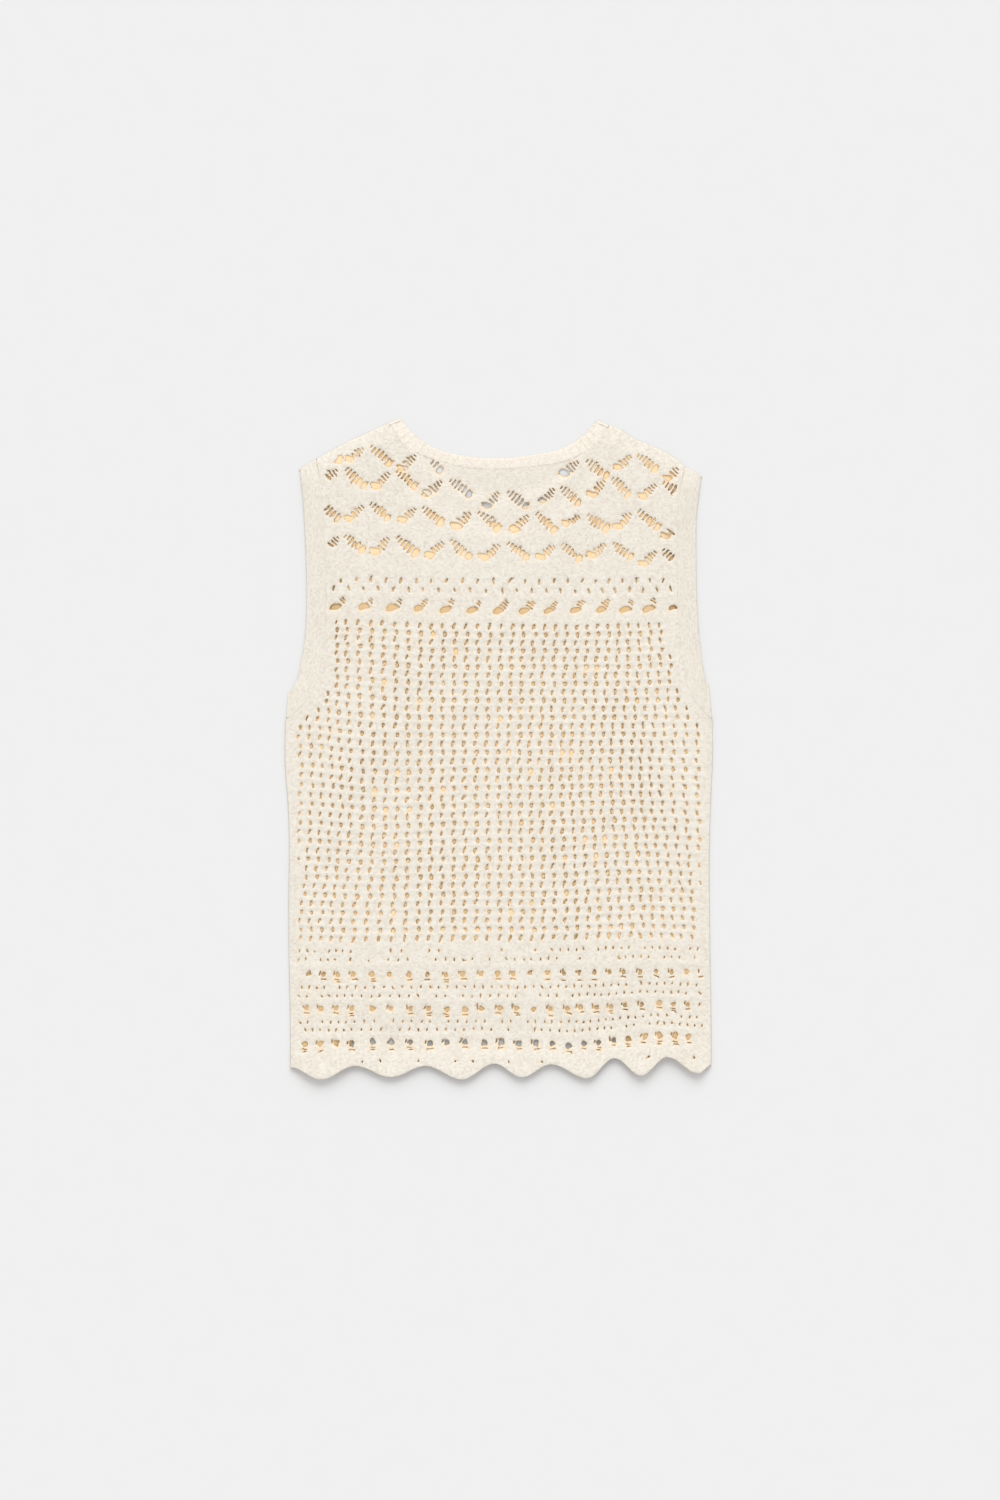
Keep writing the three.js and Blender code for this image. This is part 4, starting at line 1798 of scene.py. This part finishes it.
@dataclass
class Band:
    """A band that goes round the garment as one closed loop and turns over at both ends."""

    name: str
    node: str
    slot: str
    edge: tuple[np.ndarray, np.ndarray]  # its free edge over the back and over the front
    seam: tuple[np.ndarray, np.ndarray]  # its seam to the panels, point for point beside the edge
    step: float
    rib: float = 0.0  # pitch of its ribs
    rib_height: float = 0.0
    crown: float = 0.15
    knob: float = 0.35  # how far the stitches of the free edge stand out
    gap: float = -0.15  # its seam laps this far over the panel's edge
    fan: float = 70.0  # its sections fan out over this length beside a fold

    def halves(self) -> list[tuple[np.ndarray, np.ndarray]]:
        """Edge and seam of both halves, walked in even steps and drawn back from the folds.

        Returns:
            The two lines of the back's half and of the front's.
        """
        walked = []
        for edge, seam in zip(self.edge, self.seam):
            along = lengths_along((edge + seam) / 2)
            wanted = np.linspace(0, along[-1], round(along[-1] / self.step) + 1)
            pair = [
                np.column_stack([np.interp(wanted, along, line[:, k]) for k in (0, 1)])
                for line in (edge, seam)
            ]
            inward = pair[0] - pair[1]
            inward /= np.linalg.norm(inward, axis=1)[:, None]
            walked.append((pair[0], pair[1] + inward * self.gap))
        return walked

    def stations(self) -> tuple[np.ndarray, ...]:
        """Sections round the whole loop.

        Returns:
            Free edge, seam, the way a fold bulges, the angle of the turn, and how far the nearest fold is.
        """
        back, front = (self.trim(edge, seam) for edge, seam in self.halves())
        turns = np.linspace(90, -90, max(9, round(math.pi * MIDDLE / self.step)))
        rows: list[tuple[np.ndarray, np.ndarray, np.ndarray, float, float]] = []
        for over, under, angle in ((back, front, 90.0), (front, back, -90.0)):
            order = 1 if angle > 0 else -1
            edge, seam = over[0][::order], over[1][::order]
            next_edge, next_seam = under[0][::order], under[1][::order]
            away = np.minimum(np.arange(len(edge)), np.arange(len(edge))[::-1]) * self.step
            rows += [(e, s, np.zeros(2), angle, d) for e, s, d in zip(edge, seam, away)]
            way, next_way = (half[3] if angle > 0 else half[2] for half in (over, under))
            for share, turn in zip(np.linspace(0, 1, len(turns)), turns[::order]):
                e = edge[-1] + (next_edge[-1] - edge[-1]) * share
                s = seam[-1] + (next_seam[-1] - seam[-1]) * share
                rows.append((e, s, way + (next_way - way) * share, float(turn), 0.0))
        return tuple(np.array(column) for column in zip(*rows))

    def trim(
        self, edge: np.ndarray, seam: np.ndarray
    ) -> tuple[np.ndarray, np.ndarray, np.ndarray, np.ndarray]:
        """Draws one half back from its two folds, and says which way each fold bulges.

        Args:
            edge: the half's free edge.
            seam: its seam.

        Returns:
            The edge and the seam drawn back, and the way each of the two folds bulges.
        """
        ways = []
        count = len(edge)
        places = [np.arange(count, dtype=float) for _ in (edge, seam)]
        fade = round(self.fan / self.step)
        for order in (1, -1):
            e, s = edge[::order], seam[::order]
            line = (e[0] - s[0]) / np.linalg.norm(e[0] - s[0])
            way = np.array([-line[1], line[0]])
            inner = (e[count // 12] + s[count // 12]) / 2
            if np.dot(way, (e[0] + s[0]) / 2 - inner) < 0:
                way = -way
            ways.append(way)
            share = np.clip(1 - np.arange(count) / fade, 0, 1)[::order]
            for place, part in zip(places, (e, s)):
                place += order * share * int(np.argmax((part[0] - part) @ way >= MIDDLE))
        lines = [
            np.column_stack([np.interp(place, np.arange(count), line[:, k]) for k in (0, 1)])
            for place, line in zip(places, (edge, seam))
        ]
        return lines[0], lines[1], ways[0], ways[1]

    def profile(self, width: float) -> np.ndarray:
        """The section of the band, as a loop of points.

        Args:
            width: the band's width, in millimetres.

        Returns:
            For each point, its share of the way from edge to seam, its radius, and how far outside it is.
        """
        rim = 1.0 / width
        inner, outer = MIDDLE - CLOTH, MIDDLE
        middle = (inner + outer) / 2
        return np.array(
            [
                (0.0, middle, 0.3),
                (0.18 * rim, middle + 0.6, 0.8),
                (0.55 * rim, outer - 0.1, 1),
                (1.1 * rim, outer, 1),
                (0.3, outer, 1),
                (0.5, outer, 1),
                (0.7, outer, 1),
                (1 - 0.7 * rim, outer, 0.8),
                (1 - 0.2 * rim, outer - 0.04, 0.5),
                (1.0, outer - 0.2, 0.0),
                (1 + 0.8 * rim, middle - 0.3, 0.0),
                (1 + 0.9 * rim, inner - 0.08, 0.0),
                (1 - 0.6 * rim, inner, 0.0),
                (0.5, inner, 0.0),
                (0.6 * rim, inner, 0.0),
                (0.1 * rim, middle - 0.6, 0.0),
            ]
        )

    def rings(self, stations: tuple[np.ndarray, ...], turns: np.ndarray) -> np.ndarray:
        """The points round each section.

        Args:
            stations: the sections.
            turns: how far round its rib each of them lies, in radians.

        Returns:
            For each section, its points in plan and height.
        """
        edge, seam, way, angle, from_fold = stations
        fold = np.radians(angle)
        count = len(edge)
        wave = 0.6 * np.cos(turns) + 0.4 * np.cos(2 * turns + 0.6) if self.rib else np.zeros(count)
        draw = np.random.default_rng(len(self.name))
        knobs = self.knob * (wave if self.rib else np.arange(count) % 2)
        knobs = knobs + draw.uniform(-0.4, 0.4, count) * self.knob
        widths = np.linalg.norm(edge - seam, axis=1)
        rings = []
        for i in range(count):
            share, radius, outside = self.profile(widths[i]).T
            share = share - (1 - share) ** 12 * knobs[i] / widths[i]
            radius = radius + outside * (self.rib_height * wave[i] + self.crown * np.sin(math.pi * share))
            plan = edge[i] + share[:, None] * (seam[i] - edge[i])
            plan = plan + way[i] * (radius * np.cos(fold[i]))[:, None]
            drop = np.minimum(sunk(plan), MIDDLE) if angle[i] == 90 and self.rib else 0
            level = np.maximum(MIDDLE + radius * math.sin(fold[i]) - drop, 0)
            level = level * pressed(share * widths[i]) * pressed(from_fold[i])
            rings.append(np.column_stack([plan, level]))
        return np.array(rings)

    def tube(self, rings: np.ndarray, along: np.ndarray, stitch_count: int, width: float) -> Cloth:
        """Joins the rings into one closed tube.

        Args:
            rings: the points of each section.
            along: how far round the band each section lies, and at the end the whole way round.
            stitch_count: how many stitches go round it.
            width: its mean width.

        Returns:
            The mesh, facing outwards.
        """
        count, size = rings.shape[:2]
        profile_along = lengths_along(np.vstack([rings[0], rings[0][:1]]))
        faces, stitches, bake = [], [], []
        for i in range(count):
            j = (i + 1) % count
            u0, u1 = along[i] / along[-1], along[i + 1] / along[-1]
            for k in range(size):
                m = (k + 1) % size
                faces.append((i * size + k, j * size + k, j * size + m, i * size + m))
                v0, v1 = profile_along[k] / COURSE, profile_along[k + 1] / COURSE
                stitches += [(u * stitch_count, v) for u, v in ((u0, v0), (u1, v0), (u1, v1), (u0, v1))]
                bake += [(u0, k / size), (u1, k / size), (u1, (k + 1) / size), (u0, (k + 1) / size)]
        # painted shade on the band's inner faces, which face the cloth between the layers
        painted_shade = np.tile(1 - np.clip(self.profile(width)[:, 2] + 0.6, 0, 1), count)
        bake_map = self.folded_bake(np.array(bake).reshape(-1, 4, 2))
        stitch_map = np.array(stitches).reshape(-1, 4, 2)
        cloth = Cloth(rings.reshape(-1, 3), np.array(faces), painted_shade, stitch_map, bake_map)
        if signed_volume(cloth.points, cloth.faces) < 0:
            cloth.faces = cloth.faces[:, ::-1]
            cloth.stitches = cloth.stitches[:, ::-1]
            cloth.bake = cloth.bake[:, ::-1]
        return cloth

    def build(self, material: bpy.types.Material) -> bpy.types.Object:
        """Builds the band as a piece that stands for its node.

        Args:
            material: its finish.

        Returns:
            The piece.
        """
        stations = self.stations()
        edge, seam, way, angle, _ = stations
        fold = np.radians(angle)
        middle = (edge + seam) / 2
        lifted = np.column_stack([middle + way * (np.cos(fold) * MIDDLE)[:, None], np.sin(fold) * MIDDLE])
        along = lengths_along(np.vstack([lifted, lifted[:1]]))
        total = along[-1]
        ribs = max(1, round(total / self.rib)) if self.rib else 0
        rings = self.rings(stations, math.tau * ribs * along[:-1] / total)
        width = float(np.linalg.norm(edge - seam, axis=1).mean())
        stitch_count = RIB_STITCHES * ribs if self.rib else round(total / WALE)
        made = self.tube(rings, along, stitch_count, width).piece(self.name, self.slot, material, self.node)
        log.info("%s: %.1f mm wide, %.0f mm round, %d ribs", self.name, width, total, ribs)
        return made

    def folded_bake(self, bake: np.ndarray, strips: int = 6) -> np.ndarray:
        """Lays the long strip of the bake map out as several shorter ones, one above the other.

        Args:
            bake: the corners of each face on the long strip.
            strips: how many shorter ones.

        Returns:
            The corners in their new places.
        """
        left = bake[:, :, 0].min(axis=1)
        strip = np.minimum((left * strips).astype(int), strips - 1)
        made = bake.copy()
        made[:, :, 0] = (bake[:, :, 0] * strips - strip[:, None]) * 0.96 + 0.01
        made[:, :, 1] = (bake[:, :, 1] * 0.9 + strip[:, None]) / strips + 0.005
        return made


def signed_volume(points: np.ndarray, faces: np.ndarray) -> float:
    """The volume inside a closed mesh of quads, negative if it is inside out.

    Args:
        points: the mesh's points.
        faces: its quads.

    Returns:
        The volume.
    """
    a, b, c, d = (points[faces[:, k]] for k in range(4))
    first = np.einsum("ij,ij->i", a, np.cross(b, c)).sum()
    second = np.einsum("ij,ij->i", a, np.cross(c, d)).sum()
    return float(first + second) / 6


# --- the studio -----------------------------------------------------------------------------------------


@dataclass
class Studio:
    """A pale floor, soft light from beyond the neck, and a camera straight above."""

    middle: tuple[float, float] = (0.00117, -0.0012)  # what the camera looks down at
    frame_height: float = 1.35  # metres of floor from top to bottom of the view
    camera_height: float = 6.0
    floor_size: float = 12.0
    floor_level: float = -0.0001
    key_strength: float = 2.0
    key_elevation: float = 36.0
    key_softness: float = 40.0
    world_strength: float = 0.86

    def build(self) -> None:
        """Makes the floor, the lights and the camera."""
        self.floor()
        self.light()
        self.camera()
        view = bpy.context.scene.view_settings
        view.view_transform = "Standard"
        view.look = "None"

    def floor(self) -> None:
        """A large flat floor just under the cloth."""
        half = self.floor_size / 2
        mesh = bpy.data.meshes.new("floor")
        corners = [(x * half, y * half, self.floor_level) for x, y in ((-1, -1), (1, -1), (1, 1), (-1, 1))]
        mesh.from_pydata(corners, [], [(0, 1, 2, 3)])
        mesh.materials.append(FloorFinish().material())
        made = bpy.data.objects.new("floor", mesh)
        bpy.context.scene.collection.objects.link(made)

    def light(self) -> None:
        """Even light from all round and a soft key light from beyond the neck."""
        world = bpy.data.worlds.new("studio")
        world.use_nodes = True
        background = world.node_tree.nodes["Background"]
        background.inputs["Color"].default_value = (1.0, 1.0, 1.0, 1.0)
        background.inputs["Strength"].default_value = self.world_strength
        bpy.context.scene.world = world
        lamp = bpy.data.lights.new("key", "SUN")
        lamp.energy = self.key_strength
        lamp.angle = math.radians(self.key_softness)
        made = bpy.data.objects.new("key", lamp)
        made.rotation_euler = (-math.radians(90 - self.key_elevation), 0, 0)
        bpy.context.scene.collection.objects.link(made)

    def camera(self) -> None:
        """A long lens straight above."""
        lens = bpy.data.cameras.new("camera")
        lens.sensor_width = 36.0
        lens.lens = lens.sensor_width * self.camera_height / self.frame_height
        lens.clip_end = 50.0
        made = bpy.data.objects.new("camera", lens)
        made.location = (*self.middle, self.camera_height)
        bpy.context.scene.collection.objects.link(made)
        bpy.context.scene.camera = made


def neck_lines(table: Sequence[NeckRow]) -> tuple[np.ndarray, np.ndarray]:
    """The neckband's free edge and its seam, point for point."""
    return curve_through(numbers(table, "edge_x", "edge")), curve_through(numbers(table, "seam_x", "seam"))


def main() -> None:
    """Builds the garment, piece by piece, and the studio round it."""
    logging.basicConfig(level=logging.INFO, format="%(name)s %(message)s")
    openwork, rib, plain = (finish.material() for finish in (OPENWORK, RIB, PLAIN))
    back = Panel(Cut(Layer.BACK), grain=2.6, rim_points=9, seed=7)
    front = Panel(Cut(Layer.FRONT), grain=4.5, rim_points=8, seed=11, shift=0.5, avoided=back.openings())
    back.build("back", openwork)
    front.build("front", openwork)
    (back_edge, back_seam), (front_edge, front_seam) = neck_lines(BACK_NECK), neck_lines(FRONT_NECK)
    Band(
        "ribbed_neckband",
        "neckband",
        "rib_knit",
        (back_edge, front_edge),
        (back_seam, front_seam),
        step=0.5,
        rib=6.35,
        rib_height=0.3,
    ).build(rib)
    for word, side in (("left", -1), ("right", 1)):
        edge, seam = armhole_edge(side), armhole_seam(side)
        name, node = f"{word}_armhole_band", f"armhole_band_{word}"
        Band(name, node, "plain_knit", (edge, edge), (seam, seam), step=COURSE / 2).build(plain)
    Studio().build()


if __name__ == "__main__":
    main()
